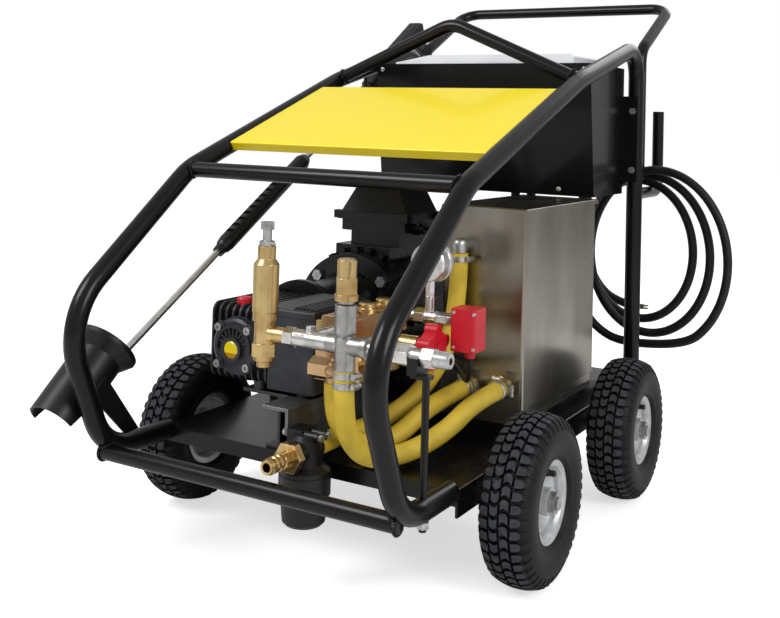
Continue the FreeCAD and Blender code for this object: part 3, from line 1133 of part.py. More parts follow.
def make_filter():
    x, y = FILTER_X, FILTER_Y
    r, t = FILTER_BOWL_R, FILTER_WALL
    split, bottom = FILTER_SPLIT_Z, FILTER_BOTTOM_Z
    port_z = FILTER_PORT_Z
    nodes["filter_bowl"] = lathe([(0, bottom), (r - 9, bottom), (r - 4, bottom + 5), (r, split - 34),
                                  (r + 3, split - 30), (r + 3, split), (r - t, split), (r - t - 3, bottom + 12),
                                  (0, bottom + 9)], (x, y, 0))
    seat = split + LOOSE_GAP
    head = lathe([(0, seat), (r + 2, seat), (r + 2, seat + 6), (27, seat + 14), (24, seat + 50), (16, seat + 58),
                  (0, seat + 58)], (x, y, 0))
    inlet = cylinder(19, 34, (x, y, port_z), Y_AXIS * -1)
    outlet = cylinder(17, 28, (x, y, port_z), Y_AXIS)
    barb = cylinder(BARB_R, 28 + BARB_LENGTH, (x, y, port_z), Y_AXIS)
    pad_x = PUMP_FEET_X[1] + 22 + STAND_PLATE
    pad = box(pad_x, FILTER_BOLT_Y[0] - 8, FILTER_BOLT_Z - 12, x, FILTER_BOLT_Y[1] + 8, FILTER_BOLT_Z + 8)
    head = head.fuse([inlet, outlet, barb, pad]).removeSplitter()
    bolts = []
    start = pad_x - STAND_PLATE
    for by in FILTER_BOLT_Y:
        head = head.cut(cylinder(FILTER_BOLT_R, 90, (start, by, FILTER_BOLT_Z), X_AXIS))
        rod = cylinder(FILTER_BOLT_R, x + 26 - start, (start, by, FILTER_BOLT_Z), X_AXIS)
        bolts.append(rod.fuse([hexagon(10, 6, (start - 6, by, FILTER_BOLT_Z), X_AXIS),
                               hexagon(10, 6, (x + 26, by, FILTER_BOLT_Z), X_AXIS)]))
    screen = ring(SCREEN_R, SCREEN_R - 1.5, split - bottom - 14, (x, y, bottom + 14 + LOOSE_GAP))
    nodes["filter_head"] = group(head, screen)
    front = y - 34
    nose = lathe([(7, 0), (19, 0), (19, 10), (12, 12), (12, 28), (10.5, 30), (12.5, 38), (10.5, 40), (12.5, 48),
                  (10.5, 50), (12.5, 58), (10.5, 64), (7, 64)], (x, front, port_z), Y_AXIS * -1)
    nut = hexagon(42, 14, (x, front, port_z), Y_AXIS * -1)
    nut = nut.cut(cylinder(7, 14, (x, front, port_z), Y_AXIS * -1))
    return nose.fuse(nut).removeSplitter(), bolts


# Lance

def lance_direction():
    a = math.radians(LANCE_PITCH)
    return V(0, math.cos(a), math.sin(a))


def along_lance(distance, rise=0.0):
    d = lance_direction()
    n = V(0, -d.z, d.y)
    return V(LANCE_X, LANCE_TIP_Y, LANCE_TIP_Z) + d * distance + n * rise


def lance_slab(outline, half, start=LANCE_LENGTH):
    """A flat piece in the lance's upright plane, drawn along and across the lance."""
    points = [along_lance(start + a, b) + V(-half, 0, 0) for a, b in outline]
    return Part.Face(Part.makePolygon(points + [points[0]])).extrude(V(2 * half, 0, 0))


def make_lance():
    d = lance_direction()
    tube = cylinder(LANCE_R, LANCE_LENGTH - 25, along_lance(25), d)
    nozzle = lathe([(2.5, 0), (9, 0), (11, 5), (11, 26), (LANCE_R + 1, 34), (2.5, 34)], along_lance(0), d)
    nodes["lance_tube"] = tube.fuse(nozzle).removeSplitter()
    g = GRIP_LENGTH
    grip = lathe([(LANCE_R, 0), (11, 0), (12, 12), (15, 18), (17, 30), (17, g - 14), (12, g), (LANCE_R, g)],
                 along_lance(GRIP_START), d)
    slots = []
    for i in range(12):
        for s in (-1, 1):
            slot = box(-10, s * 11, 0, 10, s * 20, 9)
            slot.Placement = FreeCAD.Placement(along_lance(GRIP_START + 44 + i * 20), FreeCAD.Rotation(Z_AXIS, d))
            slots.append(slot)
    nodes["lance_grip"] = grip.cut(Part.Compound(slots))


def make_gun():
    d = lance_direction()
    barrel = lathe([(LANCE_R, 0), (14, 0), (19, 12), (21, 150), (21, 190), (0, 190), (0, 150), (LANCE_R, 150)],
                   along_lance(GUN_START), d)
    body = lance_slab([(-60, -14), (-60, 22), (40, 38), (210, 44), (226, 34), (222, 12), (206, 4), (60, -4),
                       (30, -18)], 16)
    body = softened(body, 7.0, lambda e: not runs_along(e, X_AXIS) and e.Length > 80)
    grip = lance_slab([(176, 10), (214, 12), (252, -92), (224, -104)], 14)
    grip = softened(grip, 6.0, lambda e: not runs_along(e, X_AXIS) and e.Length > 80)
    guard = lance_slab([(40, -12), (50, -12), (120, -70), (228, -104), (226, -96), (124, -60), (56, -4), (40, -4)], 5)
    nipple = lathe([(0, 0), (11, 0), (11, 14), (8, 16), (8, 30), (0, 30)], along_lance(LANCE_LENGTH + 238, -98),
                   along_lance(0.34, -0.94) - along_lance(0))
    gun = barrel.fuse([body, grip, guard, nipple])
    gun = gun.cut(cylinder(LANCE_R, LANCE_LENGTH, along_lance(0), d))
    along, rise = TRIGGER_PIVOT
    half = TRIGGER_HALF
    pivot = along_lance(LANCE_LENGTH + along, rise)
    eye = TRIGGER_EYE_R
    pocket = cylinder(eye + 1, 2 * half + 2, pivot - X_AXIS * (half + 1), X_AXIS)
    pocket = pocket.fuse(lance_slab([(along - eye - 1.3, rise + 1), (along + eye + 3, rise + 1), (along + 21, -12),
                                     (along - eye - 1.3, -12)], half + 1))
    gun = gun.cut(pocket).fuse(cylinder(TRIGGER_PIN_R, 32, pivot - X_AXIS * 16, X_AXIS))
    nodes["spray_gun"] = largest(gun.removeSplitter())
    lever = lance_slab([(along - 5.5, rise - 3), (along + 5.5, rise - 3), (132, -8), (146, -28), (150, -52),
                        (136, -48), (120, -22)], half)
    lever = lever.fuse(cylinder(eye, 2 * half, pivot - X_AXIS * half, X_AXIS))
    nodes["gun_trigger"] = lever.cut(cylinder(TRIGGER_PIN_R + RUNNING_GAP, 4 * half, pivot - X_AXIS * 2 * half,
                                              X_AXIS))


def make_lance_cup():
    """A flared cup with a slanting foot, on a strap from the bottom rail."""
    a = math.radians(CUP_PITCH)
    axis = V(0, math.cos(a), math.sin(a))
    rim = V(LANCE_X, *CUP_RIM)
    r, t = CUP_R, CUP_WALL
    cup = lathe([(r - t, -CUP_LENGTH), (r, -CUP_LENGTH), (r, -26), (CUP_RIM_R, -8), (CUP_RIM_R, 0),
                 (CUP_RIM_R - t, 0), (CUP_RIM_R - t, -7), (r - t, -25)], rim, axis)
    knife = Part.makeBox(400, 400, 400, V(-200, -200, -400))
    knife.Placement = FreeCAD.Placement(V(LANCE_X, *CUP_CUT), FreeCAD.Rotation(X_AXIS, CUP_CUT_TILT))
    side = -CAGE_HALF_WIDTH - SIDE_TUBE_DIA / 2
    strap = slab_along_x([(-226, RAIL_Z - 6), (-196, RAIL_Z - 6), (-288, 284), (-318, 258)], side - 4, side)
    nodes["lance_cup"] = largest(cup.cut(knife).fuse(strap).removeSplitter())


# Power cord

def coil_point(turns, place):
    """Where the coil's line runs after so many turns: rightmost, top, leftmost or bottom."""
    right = COIL_RIGHT + COIL_RIGHT_STEP * turns
    left = COIL_LEFT + COIL_LEFT_STEP * turns
    top = COIL_TOP + COIL_TOP_STEP * turns
    bottom = COIL_BOTTOM + COIL_BOTTOM_STEP * turns
    y = COIL_FIRST_Y + COIL_PITCH * turns
    middle_x = (right + left) / 2
    middle_z = (top + bottom) / 2
    return (V(right, y, middle_z), V(middle_x, y, top), V(left, y, middle_z), V(middle_x, y, bottom))[place]


def make_power_cord():
    """Three hanging turns on the hook, each smaller than the last and one pitch behind it."""
    gx, gy = CORD_GLAND
    first = BOX_BOTTOM_Z - GLAND_HEIGHT
    here = coil_point(0, 3)
    points = [(gx, gy, first), (gx, gy, 480), (160, 680, 428), (139, 712, 372), (143, 732, 312),
              (175, 744, 260), (here.x - 82, COIL_FIRST_Y, COIL_BOTTOM), tuple(here)]
    nodes["power_cord"] = cord("power cord", points, CORD_DIA)
    lead = bent_path(points, widest_radii(points))
    heading = X_AXIS
    edges = []
    ways = (Z_AXIS, X_AXIS * -1, Z_AXIS * -1, X_AXIS)
    for quarter in range(4 * COIL_TURNS):
        place = quarter % 4
        target = coil_point((quarter + 1) / 4, place)
        direction = (ways[place] + Y_AXIS * (COIL_PITCH / 4 / 260.0)).normalize()
        edges += biarc(here, heading, target, direction)
        here, heading = target, direction
    path = Part.Wire(edges)
    coil = swept(path, CORD_DIA / 2)
    print("coil: length %.0f, least gap of the cord to itself %.2f, volume ratio %.4f" % (
        path.Length, least_self_gap([lead, path], CORD_DIA),
        coil.Volume / (path.Length * math.pi * CORD_DIA ** 2 / 4)))
    nodes["cord_coil"] = coil


def least_self_gap(paths, dia, step=5.0):
    """The smallest gap between points of the cord more than four diameters apart along it."""
    points = []
    for path in paths:
        points += path.discretize(Number=int(path.Length / step))
    apart = int(4 * dia / step)
    gap = 1e9
    for i, point in enumerate(points):
        for other in points[i + apart:]:
            gap = min(gap, point.distanceToPoint(other) - dia)
    return gap


# Fasteners

def frame_bolts():
    """Handle bolts through wing, post and leg, and the axle nuts."""
    pieces = []
    shank = BOX_WING + SIDE_TUBE_DIA + HANDLE_TUBE_DIA + 8
    for s in (-1, 1):
        for z in HANDLE_BOLT_Z:
            pieces.append(bolt(13, 6, HANDLE_BOLT_R, shank, (s * CAGE_HALF_WIDTH, BOX_REAR_Y - BOX_WING, z),
                               Y_AXIS * -1))
        for y in (0.0, WHEELBASE):
            start = V(s * (TRACK / 2 + HUB_LENGTH / 2 + LOOSE_GAP), y, TYRE_DIA / 2)
            nut = hexagon(30, AXLE_NUT, start, X_AXIS * s)
            pieces.append(nut.cut(cylinder(AXLE_DIA / 2, AXLE_NUT, start, X_AXIS * s)))
    return pieces


def origin_shift():
    """From the front axle's frame to the point on the floor under the middle of the machine."""
    low = [1e9] * 3
    high = [-1e9] * 3
    for name, shape in nodes.items():
        if name in ("power_cord", "cord_coil"):
            continue
        b = shape.optimalBoundingBox(False, False)
        low = [min(p) for p in zip(low, (b.XMin, b.YMin, b.ZMin))]
        high = [max(p) for p in zip(high, (b.XMax, b.YMax, b.ZMax))]
    print("box without the cord", [round(v, 2) for v in low], [round(v, 2) for v in high])
    return V(-(low[0] + high[0]) / 2, -(low[1] + high[1]) / 2, -low[2])


def main():
    make_cage()
    make_handle()
    make_deck()
    make_wheels()
    make_hood()
    make_control_box()
    make_tank()
    clamps = make_hoses()
    make_motor()
    make_terminal_box()
    flange_bolts = make_bell_housing()
    make_pump()
    cover_screws = make_bearing_cover()
    caps = make_manifold()
    make_regulator()
    unloader_cap = make_unloader()
    outlet, stay, stay_nut = make_outlet()
    valve = make_hand_valve()
    branch = make_switch_branch()
    inlet_barb, filter_bolts = make_filter()
    nodes["valve_caps"] = group(unloader_cap, *caps)
    nodes["line_fittings"] = group(make_outlet_tee(), outlet, valve, branch, inlet_barb)
    nodes["pump_brackets"] = group(stay, *make_pump_stand())
    make_control_cables()
    make_lance()
    make_gun()
    make_lance_cup()
    make_power_cord()
    nodes["fasteners"] = group(stay_nut, *frame_bolts(), *flange_bolts, *cover_screws, *filter_bolts, *clamps)
    shift = origin_shift()
    print("origin shift", [round(v, 3) for v in shift])
    os.makedirs("parts", exist_ok=True)
    for name, shape in nodes.items():
        shape.translate(shift)
        if not shape.isValid() or not shape.Solids:
            print("INVALID", name)
        b = shape.BoundBox
        print("%-16s %2d solids %9.0f mm3  x %6.1f %6.1f  y %6.1f %6.1f  z %6.1f %6.1f" % (
            name, len(shape.Solids), shape.Volume, b.XMin, b.XMax, b.YMin, b.YMax, b.ZMin, b.ZMax))
        shape.exportStep("parts/%s.step" % name)
    print(len(nodes), "nodes")


main()
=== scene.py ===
import math

import bmesh
import bpy
from mathutils import Matrix, Vector


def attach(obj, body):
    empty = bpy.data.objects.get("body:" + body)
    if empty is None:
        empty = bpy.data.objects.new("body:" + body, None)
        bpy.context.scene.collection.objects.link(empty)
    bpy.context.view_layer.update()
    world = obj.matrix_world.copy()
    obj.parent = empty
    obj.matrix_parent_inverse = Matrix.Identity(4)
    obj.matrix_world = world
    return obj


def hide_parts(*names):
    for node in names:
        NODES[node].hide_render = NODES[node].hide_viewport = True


bl_info = {
    "name": "Pressure Washer Dressing",
    "version": (1, 0, 0),
    "blender": (4, 5, 0),
    "location": "3D View > Sidebar > Washer",
    "description": "Finishes, tyres, hoses, cables, welds and a stage for a wheeled pressure washer",
    "category": "Object",
}

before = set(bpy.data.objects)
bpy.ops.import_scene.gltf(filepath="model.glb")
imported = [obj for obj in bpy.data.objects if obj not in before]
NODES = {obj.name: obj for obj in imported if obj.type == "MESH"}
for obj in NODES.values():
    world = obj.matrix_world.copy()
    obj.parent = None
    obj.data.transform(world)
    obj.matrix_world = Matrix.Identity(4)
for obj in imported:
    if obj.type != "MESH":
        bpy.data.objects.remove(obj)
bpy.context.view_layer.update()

# The machine was drawn from its front axle, in millimetres; this is where that point lies in the row frame.
AXLE_FRAME = (4.0, -285.386, -0.021)

# Places and sizes of that drawing, in millimetres
AXLES = (("front", 0.0), ("rear", 462.0))
SIDES = (("left", -1), ("right", 1))
WHEEL_X = 338
AXLE_Z = 131
CAGE_X = 272
SIDE_TUBE_R = 16.85
CROSS_TUBE_R = 13.45
LOWER_BAR = (-304, 172)
UPPER_BAR = (-125, 617)
ARCH_FOOT = (347, 797)
ARCH_TOP_RISE = 115
CORD_GLAND = (175, 660, 543)
COIL_FRONT_Y = 752
COIL_PITCH = 22
GAUGE = (146, -10, 478)
PUMP_COVER = (-127, -154, 332)
TANK_PORTS = ((159, 251), (224, 257))

SHARP_ANGLE = math.radians(40)


def at(x, y, z):
    """A point of the machine's drawing, in metres."""
    return Vector((x + AXLE_FRAME[0], y + AXLE_FRAME[1], z + AXLE_FRAME[2])) / 1000


def wheels():
    """Each wheel's name, its side as a sign and its axle's place along the machine."""
    for end, y in AXLES:
        for side, sign in SIDES:
            yield "%s_%s" % (end, side), sign, y


def paint(red, green, blue):
    """A colour as it is seen, from 0 to 255, turned into scene-linear values."""
    values = []
    for part in (red, green, blue):
        part /= 255
        values.append(part / 12.92 if part <= 0.04045 else ((part + 0.055) / 1.055) ** 2.4)
    return (*values, 1.0)


# Shader maths

class Value:
    """A shader socket. Arithmetic on it adds the Math nodes."""

    def __init__(self, finish, socket):
        self.finish = finish
        self.socket = socket

    def maths(self, operation, *inputs):
        return self.finish.node("ShaderNodeMath", {"operation": operation}, dict(enumerate(inputs)))

    def __add__(self, other):
        return self.maths("ADD", self, other)

    __radd__ = __add__

    def __mul__(self, other):
        return self.maths("MULTIPLY", self, other)

    __rmul__ = __mul__

    def __sub__(self, other):
        return self.maths("SUBTRACT", self, other)

    def __rsub__(self, other):
        return self.maths("SUBTRACT", other, self)

    def higher(self, other):
        return self.maths("MAXIMUM", self, other)

    def between(self, low, high):
        """0 at low, 1 at high, and held there on both sides."""
        return self.finish.node("ShaderNodeMapRange", {"clamp": True},
                                {"Value": self, "From Min": low, "From Max": high})


class Finish:
    """One material of the machine, round a Principled shader."""

    def __init__(self, name, colour, **fixed):
        self.material = bpy.data.materials.new(name)
        self.material.use_nodes = True
        self.tree = self.material.node_tree
        self.shader = self.tree.nodes["Principled BSDF"]
        self.material.diffuse_color = colour
        self.set("Base Color", colour)
        for socket, value in fixed.items():
            self.set(socket.replace("_", " "), value)

    def node(self, kind, settings=None, inputs=None, output=0):
        made = self.tree.nodes.new(kind)
        for name, value in (settings or {}).items():
            setattr(made, name, value)
        for name, value in (inputs or {}).items():
            if isinstance(value, Value):
                self.tree.links.new(value.socket, made.inputs[name])
            else:
                made.inputs[name].default_value = value
        return Value(self, made.outputs[output])

    def set(self, socket, value):
        if isinstance(value, Value):
            self.tree.links.new(value.socket, self.shader.inputs[socket])
        else:
            self.shader.inputs[socket].default_value = value

    def place(self, stretch=(1.0, 1.0, 1.0)):
        """Where a point lies on the machine, in metres, stretched along each axis."""
        where = self.node("ShaderNodeTexCoord", output="Object")
        return self.node("ShaderNodeVectorMath", {"operation": "MULTIPLY"}, {0: where, 1: stretch})

    def along(self, axis):
        """One coordinate of a point on the machine, in the row frame's millimetres."""
        apart = self.node("ShaderNodeSeparateXYZ", inputs={0: self.place()}, output="XYZ".index(axis))
        return apart * 1000.0

    def noise(self, scale, detail=3.0, stretch=(1.0, 1.0, 1.0), rough=0.55):
        return self.node("ShaderNodeTexNoise", inputs={
            "Vector": self.place(stretch), "Scale": scale, "Detail": detail, "Roughness": rough})

    def cells(self, scale):
        return self.node("ShaderNodeTexVoronoi", inputs={"Vector": self.place(), "Scale": scale})

    def mix(self, share, first, second):
        """first where share is 0 and second where it is 1."""
        return self.node("ShaderNodeMix", {"data_type": "RGBA"}, {0: share, 6: first, 7: second}, output=2)

    def rounded(self, radius):
        """The surface's normal with its sharp edges rounded off."""
        return self.node("ShaderNodeBevel", {"samples": 4}, {"Radius": radius})

    def worn_edges(self, radius):
        """Near 1 on the outer and inner edges of a piece, and 0 on its flats."""
        flat = self.node("ShaderNodeNewGeometry", output="Normal")
        agree = self.node("ShaderNodeVectorMath", {"operation": "DOT_PRODUCT"},
                          {0: self.rounded(radius), 1: flat}, output="Value")
        return (1 - agree).between(0.02, 0.25)

    def bump(self, height, distance, strength=1.0, normal=None):
        inputs = {"Height": height, "Distance": distance, "Strength": strength}
        if normal is not None:
            inputs["Normal"] = normal
        self.set("Normal", self.node("ShaderNodeBump", inputs=inputs))


FINISHES = {}


def remembered(make):
    """Each finish is made once and then shared."""
    def ask(*settings):
        key = (make.__name__, *[tuple(s) if hasattr(s, "__len__") else s for s in settings])
        if key not in FINISHES:
            FINISHES[key] = make(*settings).material
        return FINISHES[key]
    return ask


@remembered
def black_paint(colour):
    """Gloss black coat on the tubes, deck and control box, with a fine orange peel and rubbed edges."""
    f = Finish("black powder coat", colour, Coat_Weight=0.12, Coat_Roughness=0.08, Specular_IOR_Level=0.22)
    peel = f.noise(420.0, 2.0)
    cloud = f.noise(9.0, 4.0)
    rub = f.worn_edges(0.0012) * f.noise(60.0, 5.0).between(0.56, 0.76)
    lighter = tuple(min(1.0, c * 1.8 + 0.002) for c in colour[:3]) + (1.0,)
    dusty = f.mix(cloud.between(0.35, 0.8) * 0.25, colour, lighter)
    f.set("Base Color", f.mix(rub * 0.12, dusty, paint(74, 72, 70)))
    f.set("Roughness", 0.22 + cloud * 0.12 + rub * 0.1)
    f.bump(peel, 0.0001, 0.3, f.rounded(0.0008))
    return f


@remembered
def bracket_paint(colour):
    """The pump's stand is black; the folded bracket beside it, which holds the filter, is bare grey steel."""
    f = Finish("stand and bracket", colour, Specular_IOR_Level=0.35)
    cloud = f.noise(24.0, 4.0)
    x, y = f.along("X"), f.along("Y")
    # The bracket ends at x 100, and lies in front of y -434 or to the right of x 20.
    near = 1 - x.between(99.0, 101.0)
    bracket = near * (1 - y.between(-434.5, -433.0)).higher(x.between(19.6, 20.6))
    steel = f.mix(cloud.between(0.35, 0.7), paint(118, 118, 120), paint(78, 78, 80))
    f.set("Base Color", f.mix(bracket, colour, f.mix(f.worn_edges(0.0012), steel, paint(196, 196, 196))))
    f.set("Metallic", bracket * 0.7)
    f.set("Roughness", 0.26 + cloud * 0.14)
    f.bump(f.noise(380.0, 3.0), 0.0001, 0.35, f.rounded(0.0008))
    return f


@remembered
def yellow_paint(colour):
    """Gloss paint on the folded hood panel; its lips, facing down or forward, and every other face that does not
    turn up carry a painted shade.
    """
    f = Finish("yellow gloss paint", colour, Coat_Weight=0.25, Coat_Roughness=0.06, Specular_IOR_Level=0.35)
    cloud = f.noise(6.0, 3.0)
    deep = f.mix(cloud.between(0.3, 0.75) * 0.2, colour, paint(242, 212, 6))
    chip = f.worn_edges(0.0014) * f.noise(120.0, 4.0).between(0.6, 0.7)
    # Painted shade: faces turned sideways or down are mixed towards a darker yellow, paint(208, 184, 0).
    facing = f.node("ShaderNodeSeparateXYZ", inputs={0: f.node("ShaderNodeNewGeometry", output="Normal")}, output=2)
    shaded = f.mix(1 - facing.between(0.2, 0.5), deep, paint(208, 184, 0))
    f.set("Base Color", f.mix(chip * 0.6, shaded, paint(168, 132, 30)))
    f.set("Roughness", 0.26 + cloud * 0.1)
    f.bump(f.noise(260.0, 2.0), 0.0001, 0.25, f.rounded(0.001))
    return f


@remembered
def stainless():
    """Sheet steel brushed up and down, with a painted warm reflection in broad bands and faint finger smears."""
    f = Finish("brushed stainless", paint(166, 160, 150), Metallic=1.0, Anisotropic=0.45)
    brushed = f.noise(1.0, 3.0, (2600.0, 2600.0, 30.0))
    # Painted reflection: broad stretched bands shift the steel between a warm brown, paint(134, 127, 115), and a
    # paler grey, paint(172, 168, 159).
    band = f.noise(1.0, 3.0, (9.0, 7.0, 2.4))
    smear = f.noise(11.0, 5.0)
    painted_reflection = f.mix(band.between(0.32, 0.7), paint(134, 127, 115), paint(172, 168, 159))
    f.set("Base Color", f.mix(smear.between(0.5, 0.8) * 0.3, painted_reflection, paint(112, 105, 94)))
    f.set("Roughness", 0.17 + brushed * 0.06 + smear * 0.1)
    f.bump(brushed, 0.00003, 0.2, f.rounded(0.0008))
    return f


@remembered
def bright_steel():
    """Drawn and polished steel on the lance and the gauge's case."""
    f = Finish("bright steel", paint(206, 205, 202), Metallic=1.0)
    patch = f.noise(46.0, 4.0)
    f.set("Base Color", f.mix(patch.between(0.4, 0.75), paint(232, 232, 234), paint(202, 200, 198)))
    f.set("Roughness", 0.22 + patch * 0.14)
    f.bump(f.noise(800.0, 2.0), 0.00004, 0.3, f.rounded(0.0006))
    return f


@remembered
def line_metal():
    """Nickel-plated steel along the water line; the inlet's barb and the hand valve's body are brass."""
    f = Finish("nickel and brass fittings", paint(204, 202, 198), Metallic=1.0)
    patch = f.noise(46.0, 4.0)
    steel = f.mix(patch.between(0.4, 0.75), paint(216, 214, 210), paint(168, 165, 160))
    gold = f.mix(patch.between(0.42, 0.74), paint(210, 182, 128), paint(164, 132, 80))
    # The barb lies below z 310, and the hand valve behind y -450 and below z 370.
    barb = 1 - f.along("Z").between(309.0, 311.0)
    valve = f.along("Y").between(-451.0, -449.0) * (1 - f.along("Z").between(369.0, 371.0))
    f.set("Base Color", f.mix(barb.higher(valve), steel, gold))
    f.set("Roughness", 0.17 + patch * 0.16)
    f.bump(f.noise(900.0, 2.0), 0.00006, 0.35, f.rounded(0.0007))
    return f


@remembered
def cast_nickel():
    """The unloader's cast body: grey nickel plate over a sand-cast skin."""
    f = Finish("cast nickel plate", paint(168, 167, 166), Metallic=1.0)
    cloud = f.noise(30.0, 4.0)
    f.set("Base Color", f.mix(cloud.between(0.35, 0.7), paint(186, 185, 184), paint(142, 140, 137)))
    f.set("Roughness", 0.3 + cloud * 0.12)
    f.bump(f.noise(420.0, 4.0, rough=0.7), 0.00025, 0.5, f.rounded(0.0012))
    return f


@remembered
def zinc():
    """Bright zinc plate on bolts, nuts and shafts, a little dulled."""
    f = Finish("zinc plate", paint(190, 190, 188), Metallic=1.0)
    patch = f.noise(80.0, 4.0)
    f.set("Base Color", f.mix(patch.between(0.4, 0.7), paint(196, 197, 196), paint(148, 148, 144)))
    f.set("Roughness", 0.28 + patch * 0.2)
    f.bump(f.noise(700.0, 2.0), 0.00005, 0.4, f.rounded(0.0005))
    return f


@remembered
def silver_rim():
    """Silver lacquer on the pressed wheel dishes, dusty in its corners."""
    f = Finish("silver lacquer", paint(196, 198, 200), Metallic=0.75, Coat_Weight=0.2, Coat_Roughness=0.2)
    dust = f.noise(45.0, 5.0)
    f.set("Base Color", f.mix(dust.between(0.45, 0.75) * 0.5, paint(204, 206, 208), paint(138, 136, 130)))
    f.set("Roughness", 0.3 + dust * 0.2)
    f.bump(f.noise(300.0, 3.0), 0.00008, 0.4, f.rounded(0.001))
    return f


@remembered
def brass(name, pale, brown):
    """Machined and cast brass: satin gold, browner in its corners, with fine turning marks."""
    f = Finish(name, pale, Metallic=1.0)
    tarnish = f.noise(24.0, 4.0, rough=0.55)
    grain = f.noise(900.0, 2.0)
    bright = f.worn_edges(0.0012)
    aged = f.mix(tarnish.between(0.45, 0.8), pale, brown)
    f.set("Base Color", f.mix(bright * 0.45, aged, paint(234, 214, 170)))
    f.set("Roughness", 0.22 + tarnish * 0.16 - bright * 0.05)
    f.bump(grain, 0.00006, 0.35, f.rounded(0.0009))
    return f


@remembered
def cast_grey(name, colour, light, gloss):
    """Sand-cast metal under paint: a pebbled skin with bright rubbed corners."""
    f = Finish(name, colour, Metallic=0.35)
    skin = f.noise(520.0, 4.0, rough=0.7)
    cloud = f.noise(22.0, 4.0)
    rub = f.worn_edges(0.0012) * f.noise(90.0, 4.0).between(0.46, 0.7)
    body = f.mix(cloud.between(0.35, 0.7), colour, light)
    f.set("Base Color", f.mix(rub * 0.4, body, paint(128, 128, 126)))
    f.set("Roughness", gloss + cloud * 0.16)
    f.bump(skin, 0.0003, 0.45, f.rounded(0.001))
    return f


@remembered
def tyre_rubber():
    """Dark smooth rubber on the side walls and in the grooves, with a faint bloom."""
    f = Finish("tyre rubber", paint(11, 12, 14), Specular_IOR_Level=0.25)
    bloom = f.noise(20.0, 4.0)
    f.set("Base Color", f.mix(bloom.between(0.4, 0.8), paint(8, 9, 11), paint(22, 24, 28)))
    f.set("Roughness", 0.44 + bloom * 0.16)
    f.bump(f.noise(600.0, 3.0), 0.00012, 0.35, f.rounded(0.0008))
    return f


@remembered
def worn_tread():
    """The tops of the tread blocks, scuffed grey and dusty."""
    f = Finish("worn tread", paint(60, 62, 66), Specular_IOR_Level=0.25)
    dust = f.noise(70.0, 5.0, rough=0.7)
    f.set("Base Color", f.mix(dust.between(0.35, 0.75), paint(46, 48, 52), paint(74, 76, 80)))
    f.set("Roughness", 0.7 + dust * 0.2)
    f.bump(f.noise(700.0, 3.0), 0.0002, 0.5)
    return f


@remembered
def cord_rubber():
    """Neoprene cable sheath, dull black with a grey bloom."""
    f = Finish("cable sheath", paint(16, 16, 18), Specular_IOR_Level=0.32)
    bloom = f.noise(35.0, 4.0)
    f.set("Base Color", f.mix(bloom.between(0.5, 0.85), paint(14, 14, 16), paint(38, 38, 40)))
    f.set("Roughness", 0.36 + bloom * 0.2)
    f.bump(f.noise(500.0, 3.0), 0.00012, 0.4)
    return f


@remembered
def hose_rubber(colour):
    """Matt yellow hose with a cloth mark in its cover and grime in patches."""
    f = Finish("yellow hose cover", colour, Specular_IOR_Level=0.35)
    grime = f.noise(20.0, 4.0, rough=0.6)
    cloth = f.cells(850.0)
    f.set("Base Color", f.mix(grime.between(0.48, 0.85) * 0.6, colour, paint(146, 120, 34)))
    f.set("Roughness", 0.46 + grime * 0.2)
    f.bump(cloth, 0.00015, 0.35)
    return f


@remembered
def moulded(name, colour, roughness, grain):
    """Injection-moulded plastic with an etched grain."""
    f = Finish(name, colour, Coat_Weight=0.06, Coat_Roughness=0.25, Specular_IOR_Level=0.38)
    cloud = f.noise(30.0, 3.0)
    darker = tuple(c * 0.72 for c in colour[:3]) + (1.0,)
    scuff = f.worn_edges(0.001) * f.noise(140.0, 4.0).between(0.5, 0.7)
    pale = tuple(min(1.0, c * 1.5 + 0.02) for c in colour[:3]) + (1.0,)
    f.set("Base Color", f.mix(scuff * 0.6, f.mix(cloud.between(0.4, 0.75) * 0.2, colour, darker), pale))
    f.set("Roughness", roughness + cloud * 0.12)
    f.bump(f.cells(grain), 0.00012, 0.35, f.rounded(0.0008))
    return f


@remembered
def amber_glass():
    """The oil window: yellow glass with a darker level line of oil low down."""
    f = Finish("oil window glass", paint(226, 200, 40), Roughness=0.08, Coat_Weight=1.0, Coat_Roughness=0.03)
    swirl = f.noise(90.0, 3.0)
    level = f.along("Z").between(at(0, 0, 322)[2] * 1000, at(0, 0, 324)[2] * 1000)
    bright = f.mix(swirl * 0.5, paint(236, 214, 48), paint(214, 186, 30))
    f.set("Base Color", f.mix(level, paint(176, 132, 18), bright))
    return f


@remembered
def clear_glass():
    """The gauge's window, thin and hardly bending the light."""
    f = Finish("gauge glass", (1.0, 1.0, 1.0, 1.0), Roughness=0.03, Transmission_Weight=1.0, IOR=1.05)
    f.set("Roughness", f.noise(120.0, 3.0) * 0.06)
    return f


@remembered
def dial_white():
    """Enamel of the gauge's dial, a little yellowed."""
    f = Finish("dial enamel", paint(236, 236, 230), Roughness=0.4)
    f.set("Base Color", f.mix(f.noise(60.0, 3.0) * 0.4, paint(240, 240, 236), paint(222, 220, 208)))
    return f


# Mesh building

def mesh_piece(name, build, materials, body):
    """Runs build on an empty mesh and puts what it made on the machine, in one material or a few."""
    bm = bmesh.new()
    build(bm)
    bmesh.ops.recalc_face_normals(bm, faces=bm.faces)
    mesh = bpy.data.meshes.new(name)
    bm.to_mesh(mesh)
    bm.free()
    mesh.shade_smooth()
    mesh.set_sharp_from_angle(angle=SHARP_ANGLE)
    piece = bpy.data.objects.new(name, mesh)
    bpy.context.scene.collection.objects.link(piece)
    for material in materials if isinstance(materials, tuple) else (materials,):
        mesh.materials.append(material)
    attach(piece, body)
    return piece


